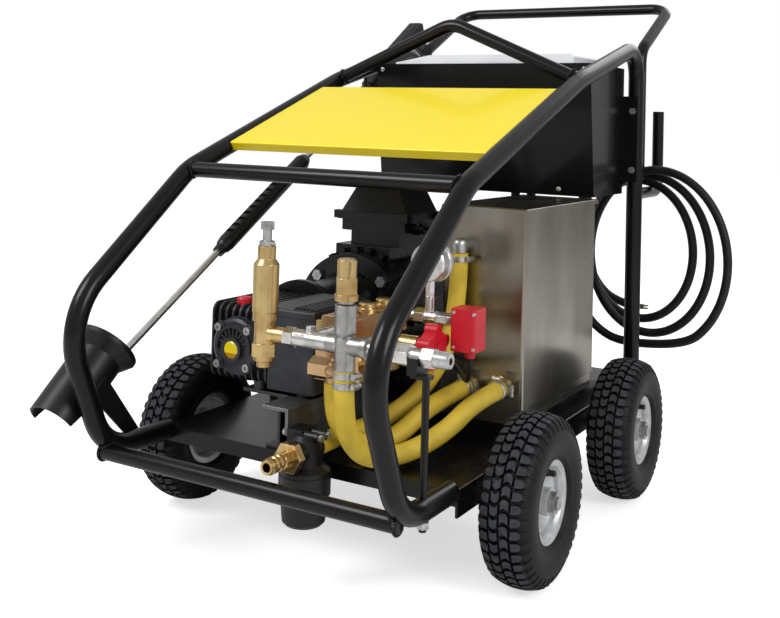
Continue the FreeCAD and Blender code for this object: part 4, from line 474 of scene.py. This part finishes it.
def turned(bm, profile, base, axis, segments=48, ring=False):
    """Turns (radius, height) pairs, in millimetres, round the line through base; ring joins last to first."""
    along = Vector(axis).normalized()
    side = along.orthogonal().normalized()
    other = along.cross(side)
    rows = []
    for radius, height in profile:
        centre = base + along * (height / 1000)
        if radius == 0:
            rows.append([bm.verts.new(centre)])
            continue
        row = []
        for i in range(segments):
            turn = 2 * math.pi * i / segments
            row.append(bm.verts.new(centre + (side * math.cos(turn) + other * math.sin(turn)) * (radius / 1000)))
        rows.append(row)
    joined = list(zip(rows, rows[1:]))
    if ring:
        joined.append((rows[-1], rows[0]))
    for low, high in joined:
        for i in range(segments):
            j = (i + 1) % segments
            corners = [low[i % len(low)], low[j % len(low)], high[j % len(high)], high[i % len(high)]]
            corners = list(dict.fromkeys(corners))
            if len(corners) > 2:
                bm.faces.new(corners)


def block(bm, low, high):
    """A solid between two outlines of as many corners."""
    bottom = [bm.verts.new(p) for p in low]
    top = [bm.verts.new(p) for p in high]
    bm.faces.new(reversed(bottom))
    lid = bm.faces.new(top)
    count = len(low)
    for i in range(count):
        j = (i + 1) % count
        bm.faces.new([bottom[i], bottom[j], top[j], top[i]])
    return lid


def bead(bm, points, radius, ripple, sides=8):
    """A closed weld bead through the points, thicker and thinner along its ripples."""
    count = len(points)
    centre = sum(points, Vector()) / count
    rows = []
    for i, point in enumerate(points):
        ahead = (points[(i + 1) % count] - points[i - 1]).normalized()
        out = point - centre
        out = (out - ahead * out.dot(ahead)).normalized()
        up = ahead.cross(out)
        size = radius / 1000 * (1 + 0.16 * math.sin(ripple * 2 * math.pi * i / count))
        rows.append([bm.verts.new(point + (out * math.cos(a) + up * math.sin(a)) * size)
                     for a in [2 * math.pi * k / sides for k in range(sides)]])
    for i in range(count):
        low, high = rows[i], rows[(i + 1) % count]
        for k in range(sides):
            m = (k + 1) % sides
            bm.faces.new([low[k], low[m], high[m], high[k]])


def smooth_run(name, points, diameter, material, body):
    """One smooth line through a route's control points, as thick as the cord."""
    curve = bpy.data.curves.new(name, "CURVE")
    curve.dimensions = "3D"
    curve.bevel_depth = diameter / 2
    curve.bevel_resolution = 6
    curve.resolution_u = 10
    curve.use_fill_caps = True
    spline = curve.splines.new("NURBS")
    spline.points.add(len(points) - 1)
    for control, point in zip(spline.points, points):
        control.co = (*point, 1.0)
    spline.order_u = 3
    spline.use_endpoint_u = True
    piece = bpy.data.objects.new(name, curve)
    bpy.context.scene.collection.objects.link(piece)
    curve.materials.append(material)
    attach(piece, body)
    return piece


# Sizes and colours

def length_setting(name, description, metres):
    return bpy.props.FloatProperty(name=name, description=description, default=metres, unit="LENGTH")


def colour_setting(name, description, colour):
    return bpy.props.FloatVectorProperty(name=name, description=description, default=colour, size=4,
                                         subtype="COLOR", min=0, max=1)


class WasherTyres(bpy.types.PropertyGroup):
    radius: length_setting("Radius", "Over the tread", 0.131)
    depth: length_setting("Tread depth", "Height of the blocks", 0.0065)
    pitches: bpy.props.IntProperty(name="Pitches", description="Rows of blocks round the tyre", default=44, min=12)


class WasherCords(bpy.types.PropertyGroup):
    cord: length_setting("Power cord", "Diameter of the cord", 0.019)
    hose: length_setting("Hoses", "Outside diameter of the tank hoses", 0.031)
    cable: length_setting("Cables", "Diameter of the control cables", 0.009)
    turns: bpy.props.IntProperty(name="Turns", description="Turns of cord on the hook", default=3, min=1)


class WasherPaint(bpy.types.PropertyGroup):
    cage: colour_setting("Cage", "Powder coat of the tubes and sheet", paint(8, 8, 11))
    hood: colour_setting("Hood", "Gloss paint of the top panel", paint(252, 228, 8))
    hose: colour_setting("Hoses", "Cover of the tank hoses", paint(214, 184, 60))
    pump: colour_setting("Pump", "Paint of the pump castings", paint(38, 40, 44))
    motor: colour_setting("Motor", "Paint of the motor", paint(12, 12, 13))
    knobs: colour_setting("Controls", "Plastic of the switches and knobs", paint(196, 20, 40))


class WasherStage(bpy.types.PropertyGroup):
    lens: bpy.props.FloatProperty(name="Lens", description="Focal length of the camera in millimetres",
                                  default=48.326, unit="CAMERA")
    floor: colour_setting("Floor", "Colour of the floor", paint(236, 236, 236))


class WasherSettings(bpy.types.PropertyGroup):
    tyres: bpy.props.PointerProperty(type=WasherTyres)
    cords: bpy.props.PointerProperty(type=WasherCords)
    paint: bpy.props.PointerProperty(type=WasherPaint)
    stage: bpy.props.PointerProperty(type=WasherStage)


# Operators

class WASHER_OT_stage(bpy.types.Operator):
    """Puts up the camera, the lamps and the pale floor"""
    bl_idname = "washer.stage"
    bl_label = "Stage"

    def execute(self, context):
        sizes = context.scene.washer.stage
        self.put_camera(context, sizes)
        self.put_floor(sizes)
        self.put_lamps(context)
        return {"FINISHED"}

    def put_camera(self, context, sizes):
        """The camera stood in front of the right front wheel, a little below the hood, and looked slightly up."""
        turn, tilt, roll = 0.529, -0.0318, 0.0266
        place = (0.9720, -1.8237, 0.7097)
        view = Vector((-math.sin(turn) * math.cos(tilt), math.cos(turn) * math.cos(tilt), -math.sin(tilt)))
        level = Vector((math.cos(turn), math.sin(turn), 0))
        rise = level.cross(view)
        right = level * math.cos(roll) + rise * math.sin(roll)
        up = rise * math.cos(roll) - level * math.sin(roll)
        data = bpy.data.cameras.new("camera")
        data.sensor_width = 36.0
        data.sensor_fit = "HORIZONTAL"
        data.lens = sizes.lens
        data.shift_x = -0.005
        data.shift_y = -0.2829
        camera = bpy.data.objects.new("camera", data)
        context.scene.collection.objects.link(camera)
        camera.matrix_world = Matrix([*zip(right, up, -view, place), (0, 0, 0, 1)])
        context.scene.camera = camera

    def put_floor(self, sizes):
        """A pale floor that is white to the camera, but keeps the shadow under the machine."""
        bm = bmesh.new()
        bmesh.ops.create_grid(bm, x_segments=4, y_segments=4, size=14.0)
        mesh = bpy.data.meshes.new("floor")
        bm.to_mesh(mesh)
        bm.free()
        floor = bpy.data.objects.new("floor", mesh)
        bpy.context.scene.collection.objects.link(floor)
        f = Finish("pale floor", tuple(sizes.floor), Roughness=0.9)
        seen = f.node("ShaderNodeLightPath", output="Is Camera Ray")
        f.set("Emission Color", f.mix(seen, (0, 0, 0, 1), (1, 1, 1, 1)))
        f.set("Emission Strength", 0.62)
        mesh.materials.append(f.material)

    def put_lamps(self, context):
        """A white world, dimmer for what it lights than for the camera and through glass, and three lamps."""
        world = bpy.data.worlds.new("studio")
        context.scene.world = world
        world.use_nodes = True
        tree = world.node_tree
        paths = tree.nodes.new("ShaderNodeLightPath")
        first = tree.nodes.new("ShaderNodeMath")
        first.operation = "MAXIMUM"
        tree.links.new(paths.outputs["Is Camera Ray"], first.inputs[0])
        tree.links.new(paths.outputs["Is Transmission Ray"], first.inputs[1])
        strength = tree.nodes.new("ShaderNodeMapRange")
        strength.inputs["To Min"].default_value = 0.55
        strength.inputs["To Max"].default_value = 1.0
        tree.links.new(first.outputs[0], strength.inputs["Value"])
        background = tree.nodes["Background"]
        background.inputs["Color"].default_value = (1, 1, 1, 1)
        tree.links.new(strength.outputs[0], background.inputs["Strength"])
        for name, place, aim, size, power in (
                ("key", (-1.6, -2.6, 3.0), (0, 0, 0.5), 1.6, 75.0),
                ("side", (3.0, -1.0, 1.9), (0, 0, 0.5), 1.4, 42.0),
                ("back", (0.4, 3.2, 2.4), (0, 0, 0.6), 1.8, 26.0)):
            light = bpy.data.lights.new(name, "AREA")
            light.energy = power
            light.size = size
            lamp = bpy.data.objects.new(name, light)
            context.scene.collection.objects.link(lamp)
            lamp.location = place
            lamp.rotation_euler = (Vector(aim) - Vector(place)).to_track_quat("-Z", "Y").to_euler()


class WASHER_OT_power_cord(bpy.types.Operator):
    """Hangs the power cord from its gland and winds it on the hook"""
    bl_idname = "washer.power_cord"
    bl_label = "Power Cord"

    LEAD = ((175, 660, 480), (160, 680, 428), (139, 712, 372), (143, 732, 312), (175, 744, 260),
            (234, COIL_FRONT_Y, 231.5))
    # Where the coil's right, left, top and bottom lie at its first turn, and what each further turn adds.
    COIL = ((470.6, -42.5), (161.8, -13.0), (624.5, -13.0), (231.5, 25.5))
    POINTS_PER_TURN = 16

    def execute(self, context):
        sizes = context.scene.washer.cords
        gland = at(*CORD_GLAND)
        route = [gland] + [at(*point) for point in self.LEAD]
        # The curve runs inside its control points, so these stand out by as much.
        swell = 1 / (0.75 + 0.25 * math.cos(2 * math.pi / self.POINTS_PER_TURN))
        for i in range(1, self.POINTS_PER_TURN * sizes.turns + 1):
            done = i / self.POINTS_PER_TURN
            turn = 2 * math.pi * done - math.pi / 2
            right, left, top, bottom = (first + step * done for first, step in self.COIL)
            route.append(at((right + left) / 2 + (right - left) / 2 * swell * math.cos(turn),
                            COIL_FRONT_Y + COIL_PITCH * done,
                            (top + bottom) / 2 + (top - bottom) / 2 * swell * math.sin(turn)))
        cord = smooth_run("power_cord_line", route, sizes.cord, cord_rubber(), "frame")
        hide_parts("power_cord", "cord_coil")

        def sleeve(bm):
            turned(bm, [(9.6, 0), (13, 0), (13, 3), (11.4, 5), (11.4, 7), (12.2, 8), (12.2, 11), (11, 12.5),
                        (11, 14.5), (11.7, 15.5), (11.7, 18.5), (10.7, 20), (10.7, 22), (11.2, 23), (11.2, 26),
                        (10.2, 31), (9.6, 32)], gland, (0, 0, -1), ring=True)
        relief = mesh_piece("strain_relief", sleeve, moulded("black rubber sleeve", paint(22, 22, 23), 0.55, 900.0),
                            "frame")
        wires = mesh_piece("cord_conductors", self.conductors,
                           (moulded("conductor sheath", paint(150, 104, 40), 0.45, 900.0), zinc()), "frame")
        return {"FINISHED"}

    def conductors(self, bm):
        """Four cores with end ferrules stand out of the cord's bare end, inside the coil."""
        end = at(232.9, 818, 305.3)
        for i in range(4):
            a = math.pi / 2 * i + math.pi / 4
            spread = Vector((0, math.cos(a), math.sin(a))) * 0.0042
            turned(bm, [(0, -4), (2.6, -4), (2.6, 26), (0, 26)], end + spread, (1, 0, 0), segments=12)
            first = len(bm.faces)
            turned(bm, [(0, 25.8), (3.1, 25.8), (2.9, 29), (1.7, 29.6), (1.7, 39), (0, 39)], end + spread,
                   (1, 0, 0), segments=12)
            bm.faces.ensure_lookup_table()
            for face in bm.faces[first:]:
                face.material_index = 1


class WASHER_OT_hoses(bpy.types.Operator):
    """Runs the three yellow hoses between the tank, the filter and the pump"""
    bl_idname = "washer.hoses"
    bl_label = "Hoses"

    ROUTES = {
        "supply_hose": (0.49, [(144, 114, 483), (144, 114, 410), (138, 90, 318), (112, 34, 246), (74, -36, 210),
                               (50, -104, 205), (50, -176, 205)]),
        "bypass_hose": (0.498, [(136, -237, 344), (136, -237, 272), (138, -209, 224), (146, -163, 198),
                                (172, -98, 196), (206, -36, 222), (224, 20, 257), (224, 130, 257)]),
        "suction_hose": (0.404, [(78, -175, 306), (78, -175, 264), (87, -156, 224), (104, -120, 199),
                                 (130, -72, 203), (159, -4, 251), (159, 130, 251)]),
    }

    def execute(self, context):
        sizes = context.scene.washer.cords
        cover = hose_rubber(context.scene.washer.paint.hose)
        for node, (length, route) in self.ROUTES.items():
            points = [at(*p) for p in route]
            hose = smooth_run(node + "_line", points, sizes.hose, cover, "frame")
            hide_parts(node)
        return {"FINISHED"}


class WASHER_OT_cables(bpy.types.Operator):
    """Runs the motor's cable and the pressure switch's cable to the control box"""
    bl_idname = "washer.cables"
    bl_label = "Control Cables"

    ROUTES = {
        "motor_cable": (0.36, [(-7, 270, 503), (20, 270, 503), (43, 284, 501), (57, 310, 496), (61, 362, 486),
                               (62, 430, 474), (62, 494, 468), (62, 524, 485), (62, 540, 512), (62, 540, 543)]),
        "switch_cable": (0.705, [(222, 4, 331), (222, 4, 306), (211, 19, 288), (187, 51, 287), (158, 92, 288),
                                 (124, 119, 291), (90, 134, 306), (80, 180, 338), (78, 240, 382), (80, 310, 424),
                                 (83, 380, 456), (87, 450, 476), (93, 502, 484), (98, 528, 500), (98, 540, 519),
                                 (98, 540, 543)]),
    }

    def execute(self, context):
        sizes = context.scene.washer.cords
        for name, (length, route) in self.ROUTES.items():
            points = [at(*p) for p in route]
            cable = smooth_run(name, points, sizes.cable, cord_rubber(), "frame")
            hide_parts("control_cables")
        return {"FINISHED"}


class WASHER_OT_tyres(bpy.types.Operator):
    """Moulds the four tyres with their tread blocks and side walls"""
    bl_idname = "washer.tyres"
    bl_label = "Tyres"

    def execute(self, context):
        sizes = context.scene.washer.tyres
        rubber = (tyre_rubber(), worn_tread())
        for wheel, sign, y in wheels():
            centre = at(sign * WHEEL_X, y, AXLE_Z)
            tyre = mesh_piece("tyre_%s_tread" % wheel, lambda bm: self.mould(bm, centre, sign, sizes), rubber,
                              "wheel_" + wheel)
            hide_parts("tyre_" + wheel)
        return {"FINISHED"}

    def mould(self, bm, centre, sign, sizes):
        top = sizes.radius * 1000
        depth = sizes.depth * 1000
        base = top - depth
        profile = [(62, -29), (64, -34), (68, -37.2), (70, -38.6), (74, -38.2), (78, -40.2), (90, -42.4),
                   (98, -42.6), (104, -41.6), (109, -39.8), (114, -37.4), (base - 5.5, -34), (base - 2.6, -24),
                   (base - 0.8, -12), (base, 0)]
        profile = profile + [(r, -h) for r, h in reversed(profile[:-1])]
        inner = [(62, 18), (76, 30), (97, 35), (108, 26), (111, 0), (108, -26), (97, -35), (76, -30), (62, -18)]
        turned(bm, profile + inner, centre, (sign, 0, 0), segments=114, ring=True)
        step = 2 * math.pi / sizes.pitches
        half_width, drop = 33.0, 7.0

        def point(angle, across, sink):
            """On the crown of the tread, which falls by drop towards its edges, or that far below it."""
            r = (top - drop * (abs(across) / half_width) ** 2.2 - sink) / 1000
            return centre + Vector((sign * across / 1000, math.cos(angle) * r, math.sin(angle) * r))

        def tread_block(corners, angle):
            """Corners are shares of a pitch and millimetres across; the top is drawn in a little."""
            middle_a = sum(c[0] for c in corners) / len(corners)
            middle_u = sum(c[1] for c in corners) / len(corners)
            low = [point(angle + a * step, u, depth + 0.4) for a, u in corners]
            high = [point(angle + (middle_a + (a - middle_a) * 0.9) * step, middle_u + (u - middle_u) * 0.92, 0.0)
                    for a, u in corners]
            block(bm, low, high).material_index = 1

        for i in range(sizes.pitches):
            angle = i * step
            tread_block([(0.24, 1.2), (0.06, 4.6), (0.0, 8.2), (0.06, 11.8), (0.24, 15.2), (0.96, 15.2),
                         (0.78, 11.8), (0.72, 8.2), (0.78, 4.6), (0.96, 1.2)], angle)
            tread_block([(0.5, -1.2), (0.68, -4.6), (0.74, -8.2), (0.68, -11.8), (0.5, -15.2), (1.22, -15.2),
                         (1.4, -11.8), (1.46, -8.2), (1.4, -4.6), (1.22, -1.2)], angle)
            for s in (-1, 1):
                half = 0.35 if s > 0 else 0.85
                tread_block([(half, s * 17.4), (half - 0.06, s * 26.0), (half + 0.02, s * 30.6),
                             (half + 0.18, s * 32.6), (half + 0.46, s * 32.6), (half + 0.64, s * 30.0),
                             (half + 0.7, s * 26.0), (half + 0.74, s * 17.4)], angle)
                self.shoulder_lug(bm, centre, sign, angle + (half + 0.32) * step, step, s, top)

    def shoulder_lug(self, bm, centre, sign, angle, step, s, top):
        """A short rib that runs from the outer blocks down the side wall."""
        def spot(turn, r, across):
            return centre + Vector((sign * across / 1000, math.cos(turn) * r / 1000, math.sin(turn) * r / 1000))
        wide = 0.26 * step
        path = [(top - 7.6, s * 31.6), (top - 11.0, s * 35.4), (top - 16.0, s * 38.6), (top - 21.0, s * 40.9)]
        inner = [(top - 12.0, s * 29.0), (top - 15.0, s * 33.0), (top - 19.0, s * 36.6), (top - 23.0, s * 40.2)]
        for (r0, u0), (r1, u1), (q0, v0), (q1, v1) in zip(path, path[1:], inner, inner[1:]):
            block(bm, [spot(angle - wide, q0, v0), spot(angle + wide, q0, v0), spot(angle + wide, q1, v1),
                       spot(angle - wide, q1, v1)],
                  [spot(angle - wide * 0.86, r0, u0), spot(angle + wide * 0.86, r0, u0),
                   spot(angle + wide * 0.86, r1, u1), spot(angle - wide * 0.86, r1, u1)])


class WASHER_OT_welds(bpy.types.Operator):
    """Lays the weld beads where the cage's tubes meet"""
    bl_idname = "washer.welds"
    bl_label = "Welds"

    # The beads' points round a tube, how far they stand off it and how often they swell.
    ANGLES = [2 * math.pi * i / 120 for i in range(120)]
    LIFT = 0.8
    RIPPLES = 30

    def execute(self, context):
        cage = black_paint(context.scene.washer.paint.cage)
        slope = math.atan2(ARCH_FOOT[1] - UPPER_BAR[1], ARCH_FOOT[0] - UPPER_BAR[0])

        def lay(bm):
            for sign in (-1, 1):
                self.ring(bm, sign, LOWER_BAR, (0, 0.835, -0.55), 17.3)
                self.ring(bm, sign, UPPER_BAR, (0, math.cos(slope), math.sin(slope)), 0.0)
                turned(bm, [(0, -3), (13.3, -3), (13.3, 0.3), (12.2, 1.2), (0, 1.8)], at(sign * CAGE_X, *LOWER_BAR),
                       (sign, 0, 0), segments=48)
            self.foot(bm)
        mesh_piece("weld_beads", lay, cage, "frame")
        return {"FINISHED"}

    def ring(self, bm, sign, bar, along, apart):
        """Round a cross tube, where it is coped to the side tube, whose line passes that far beside its own."""
        t = Vector(along)
        n = Vector((1, 0, 0)).cross(t)
        points = []
        for a in self.ANGLES:
            off = (t * math.cos(a) + n * math.sin(a)) * (CROSS_TUBE_R + self.LIFT)
            reach = math.sqrt(max(0.0, SIDE_TUBE_R ** 2 - (apart - CROSS_TUBE_R * math.sin(a)) ** 2)) + 1.0
            points.append(at(sign * (CAGE_X - reach), *bar) + off / 1000)
        bead(bm, points, 2.4, self.RIPPLES)

    def foot(self, bm):
        """The lifting arch comes down on the side tubes at a slant."""
        slope = math.atan2(ARCH_TOP_RISE, CAGE_X)
        for sign in (-1, 1):
            run = Vector((-sign * math.cos(slope), 0, math.sin(slope)))
            side = Vector((0, 1, 0))
            over = run.cross(side).normalized()
            centre = at(sign * CAGE_X, *ARCH_FOOT) + run * 0.0176
            points = [centre + (side * math.cos(a) + over * math.sin(a)) * (CROSS_TUBE_R + self.LIFT) / 1000
                      for a in self.ANGLES]
            bead(bm, points, 2.6, self.RIPPLES)


class WASHER_OT_fittings(bpy.types.Operator):
    """Adds the screws, the gauge's dial, the thread, the ribs, sleeves, collars, clamps and valve caps"""
    bl_idname = "washer.fittings"
    bl_label = "Small Fittings"

    # The gauge reads nothing at the start angle, in degrees, and its scale goes round by the sweep.
    DIAL_START = 225
    DIAL_SWEEP = 270

    def execute(self, context):
        colours = context.scene.washer.paint
        plate = zinc()
        mesh_piece("box_screws", self.box_screws, plate, "frame")
        mesh_piece("gauge_dial", self.dial, dial_white(), "frame")
        mesh_piece("gauge_marks", self.dial_marks, moulded("printed black", paint(20, 20, 20), 0.5, 400.0), "frame")
        mesh_piece("gauge_pointer", self.pointer, moulded("pointer red", tuple(colours.knobs), 0.4, 600.0), "frame")
        mesh_piece("gauge_glass", self.glass, clear_glass(), "frame")
        mesh_piece("outlet_thread", self.thread, bright_steel(), "frame")
        mesh_piece("cover_ribs", self.cover_ribs,
                   cast_grey("rib paint", tuple(colours.pump), paint(58, 60, 64), 0.32), "frame")
        mesh_piece("filter_sleeves", self.filter_sleeves, moulded("sleeve plastic", paint(14, 14, 15), 0.3, 1100.0),
                   "frame")
        mesh_piece("port_collars", self.port_collars, line_metal(), "frame")
        mesh_piece("second_clamps", self.second_clamps, bright_steel(), "frame")
        for wheel, sign, y in wheels():
            mesh_piece("valve_cap_" + wheel, lambda bm: self.tyre_valve(bm, sign, y),
                       moulded("black cap", paint(18, 18, 19), 0.4, 900.0), "wheel_" + wheel)
        return {"FINISHED"}

    def box_screws(self, bm):
        """Pan-head screws on the leaning front of the control box and on the pressure switch's corners."""
        foot_y, foot_z, height, lean = 502, 567, 271, 34
        outward = (0, -0.992, -0.1245)
        for x, z in ((-236, 826), (236, 826), (-236, 580), (175, 580)):
            y = foot_y - lean * (z - foot_z) / height
            turned(bm, [(0, -1), (5.5, -1), (5.5, 0.8), (4.4, 2.6), (2.4, 3.3), (2.0, 1.4), (0, 1.2)],
                   at(x, y, z), outward, segments=20)
        for x in (202, 238):
            for z in (349, 405):
                turned(bm, [(0, -1), (3.0, -1), (3.0, 0.5), (2.2, 1.4), (1.2, 0.7), (0, 0.7)], at(x, -18, z),
                       (0, -1, 0), segments=16)

    def dial(self, bm):
        """The gauge's white disc."""
        turned(bm, [(0, 28.1), (29.2, 28.1), (29.2, 28.5), (0, 28.5)], at(*GAUGE), (0, 1, 0), segments=64)

    def dial_marks(self, bm):
        """Short and long strokes round three quarters of the dial."""
        for i in range(41):
            inner, wide = (21.0, 0.5) if i % 5 == 0 else (24.5, 0.28)
            self.dial_plate(bm, self.DIAL_START - self.DIAL_SWEEP * i / 40, at(*GAUGE) + Vector((0, 0.0285, 0)),
                            ((inner, -wide), (27.5, -wide), (27.5, wide), (inner, wide)), 0.00018)

    def pointer(self, bm):
        """The gauge's pointer, at rest on its stop."""
        centre = at(*GAUGE) + Vector((0, 0.0289, 0))
        self.dial_plate(bm, self.DIAL_START, centre, ((-8, -1.4), (22, -0.4), (22, 0.4), (-8, 1.4)), 0.0005)
        turned(bm, [(0, -0.4), (3.2, -0.4), (3.2, 0.8), (0, 1.0)], centre, (0, 1, 0), segments=20)

    def dial_plate(self, bm, degrees, centre, corners, thick):
        """A thin plate on the dial; its corners are millimetres out from the centre and sideways."""
        turn = math.radians(degrees)
        out = Vector((-math.cos(turn), 0, math.sin(turn)))
        side = Vector((math.sin(turn), 0, math.cos(turn)))
        flat = [centre + (out * r + side * w) / 1000 for r, w in corners]
        block(bm, flat, [p + Vector((0, thick, 0)) for p in flat])

    def glass(self, bm):
        """The gauge's window."""
        turned(bm, [(0, 30.3), (29.4, 30.3), (29.4, 30.8), (0, 30.8)], at(*GAUGE), (0, 1, 0), segments=64)

    def thread(self, bm):
        """The outlet's thread, as close ridges on its nipple."""
        profile = [(11.2, 1.0)]
        for i in range(12):
            profile += [(11.5, 1.2 + i * 1.75), (12.0, 1.9 + i * 1.75), (11.5, 2.6 + i * 1.75)]
        profile.append((11.2, 23.0))
        turned(bm, profile, at(286, -237, 381), (1, 0, 0), segments=40)

    def cover_ribs(self, bm):
        """Spokes between the oil window's rim and the arch over it."""
        for i in range(9):
            turn = math.radians(18 + 18 * i)
            out = Vector((math.cos(turn), 0, math.sin(turn)))
            side = Vector((math.sin(turn), 0, -math.cos(turn))) * 1.3
            centre = at(*PUMP_COVER)
            foot = [centre + (out * r + side * s) / 1000 for r, s in ((19, -1), (32, -1), (32, 1), (19, 1))]
            block(bm, foot, [p + Vector((0, -0.0145, 0)) for p in foot])

    def filter_sleeves(self, bm):
        """Plastic lugs of the filter's head, round the two long bolts."""
        for y in (-207, -188):
            turned(bm, [(3.2, 0), (7.6, 0), (7.6, 20), (6.8, 26), (3.2, 26)], at(50, y, 228), (1, 0, 0),
                   segments=32, ring=True)

    def port_collars(self, bm):
        """Six-sided collars between the hoses' ends and the tank's wall."""
        for x, z in TANK_PORTS:
            turned(bm, [(10, 130.4), (18.5, 130.4), (20.5, 131.6), (20.5, 138), (10, 138)], at(x, 0, z), (0, 1, 0),
                   segments=6, ring=True)

    def second_clamps(self, bm):
        """A second worm-drive band on each hose that ends at the tank."""
        for x, z in TANK_PORTS:
            base = at(x, 101, z)
            turned(bm, [(15.3, 0), (16.9, 0), (17.3, 0.8), (17.3, 8.2), (16.9, 9), (15.3, 9)], base, (0, 1, 0),
                   segments=48, ring=True)
            turned(bm, [(0, -7), (4.6, -7), (4.6, -3), (3.4, -3), (3.4, 8), (0, 8)],
                   base + Vector((0, 0.0045, 0.0205)), (1, 0, 0), segments=16)

    def tyre_valve(self, bm, sign, y):
        """A rubber sleeve and cap on the valve stem."""
        turned(bm, [(0, 37.2), (3.4, 37.2), (4.8, 36), (4.8, 27), (5.8, 26), (6.2, 17), (4.3, 16)],
               at(sign * WHEEL_X, y, AXLE_Z + sign * 44), (sign, 0, 0), segments=20)


NODE_FINISHES = {
    "cage": ("side_tube_left", "side_tube_right", "cross_tubes", "lifting_arch", "push_handle", "deck_tray",
             "control_box"),
    "brackets": ("pump_brackets",),
    "hood": ("hood_panel",),
    "stainless": ("tank_body", "tank_lid"),
    "bright": ("pressure_gauge", "lance_tube"),
    "line": ("line_fittings",),
    "nickel": ("unloader_body",),
    "zinc": ("wheel_axles", "tank_fittings", "motor_rotor", "pump_crankshaft", "pump_plungers", "regulator_screw",
             "fasteners"),
    "rim": ("rim_front_left", "rim_front_right", "rim_rear_left", "rim_rear_right"),
    "brass": ("valve_caps", "regulator_body"),
    "bronze": ("pump_manifold",),
    "pump": ("pump_crankcase", "bearing_cover"),
    "motor": ("motor_housing", "bell_housing"),
    "black": ("starter", "cable_glands", "fan_cover", "terminal_box", "filter_bowl", "filter_head", "lance_grip",
              "spray_gun", "lance_cup"),
    "red": ("main_switch", "oil_cap", "star_knob", "pressure_switch", "gun_trigger"),
    "pale": ("control_lid",),
    "float": ("float_arm",),
    "glass": ("sight_glass",),
    "tyre": ("tyre_front_left", "tyre_front_right", "tyre_rear_left", "tyre_rear_right"),
    "hose": ("supply_hose", "bypass_hose", "suction_hose"),
    "cord": ("power_cord", "cord_coil", "control_cables"),
}


class WASHER_OT_finishes(bpy.types.Operator):
    """Gives every carried-over piece its finish"""
    bl_idname = "washer.finishes"
    bl_label = "Finishes"

    def execute(self, context):
        colours = context.scene.washer.paint
        materials = {
            "cage": black_paint(colours.cage),
            "hood": yellow_paint(colours.hood),
            "stainless": stainless(),
            "zinc": zinc(),
            "rim": silver_rim(),
            "brackets": bracket_paint(colours.cage),
            "bright": bright_steel(),
            "line": line_metal(),
            "nickel": cast_nickel(),
            "brass": brass("satin brass", paint(212, 184, 128), paint(168, 134, 82)),
            "bronze": brass("cast brass", paint(204, 170, 128), paint(158, 122, 84)),
            "pump": cast_grey("pump casting paint", colours.pump, paint(58, 60, 64), 0.32),
            "motor": cast_grey("motor paint", colours.motor, paint(24, 24, 26), 0.2),
            "black": moulded("black plastic", paint(12, 12, 13), 0.34, 1100.0),
            "red": moulded("red plastic", tuple(colours.knobs), 0.34, 1000.0),
            "pale": moulded("pale plastic", paint(236, 238, 242), 0.3, 900.0),
            "float": moulded("float plastic", paint(222, 220, 208), 0.4, 700.0),
            "glass": amber_glass(),
            "tyre": tyre_rubber(),
            "hose": hose_rubber(colours.hose),
            "cord": cord_rubber(),
        }
        finished = set()
        for finish, names in NODE_FINISHES.items():
            for name in names:
                slots = NODES[name].material_slots
                for place in slots:
                    place.material = materials[finish]
                if not slots:
                    NODES[name].data.materials.append(materials[finish])
                finished.add(name)
        left = sorted(set(NODES) - finished)
        if left:
            raise RuntimeError("these pieces have no finish: %s" % left)
        return {"FINISHED"}


class WASHER_PT_panel(bpy.types.Panel):
    """The pressure washer's sizes, colours and pieces"""
    bl_idname = "WASHER_PT_panel"
    bl_label = "Pressure Washer"
    bl_space_type = "VIEW_3D"
    bl_region_type = "UI"
    bl_category = "Washer"

    def draw(self, context):
        settings = context.scene.washer
        for group in (settings.tyres, settings.cords, settings.paint, settings.stage):
            box = self.layout.box()
            for name in group.__annotations__:
                box.prop(group, name)
        for operator in OPERATORS:
            self.layout.operator(operator.bl_idname)


OPERATORS = (WASHER_OT_stage, WASHER_OT_power_cord, WASHER_OT_hoses, WASHER_OT_cables, WASHER_OT_tyres,
             WASHER_OT_welds, WASHER_OT_fittings, WASHER_OT_finishes)
CLASSES = (WasherTyres, WasherCords, WasherPaint, WasherStage, WasherSettings, *OPERATORS, WASHER_PT_panel)


def register():
    for each in CLASSES:
        bpy.utils.register_class(each)
    bpy.types.Scene.washer = bpy.props.PointerProperty(type=WasherSettings)


def unregister():
    del bpy.types.Scene.washer
    for each in reversed(CLASSES):
        bpy.utils.unregister_class(each)


def main():
    register()
    scene = bpy.context.scene
    scene.view_settings.view_transform = "Standard"
    bpy.ops.washer.stage()
    bpy.ops.washer.power_cord()
    bpy.ops.washer.hoses()
    bpy.ops.washer.cables()
    bpy.ops.washer.tyres()
    bpy.ops.washer.welds()
    bpy.ops.washer.fittings()
    bpy.ops.washer.finishes()


if __name__ == "__main__":
    main()
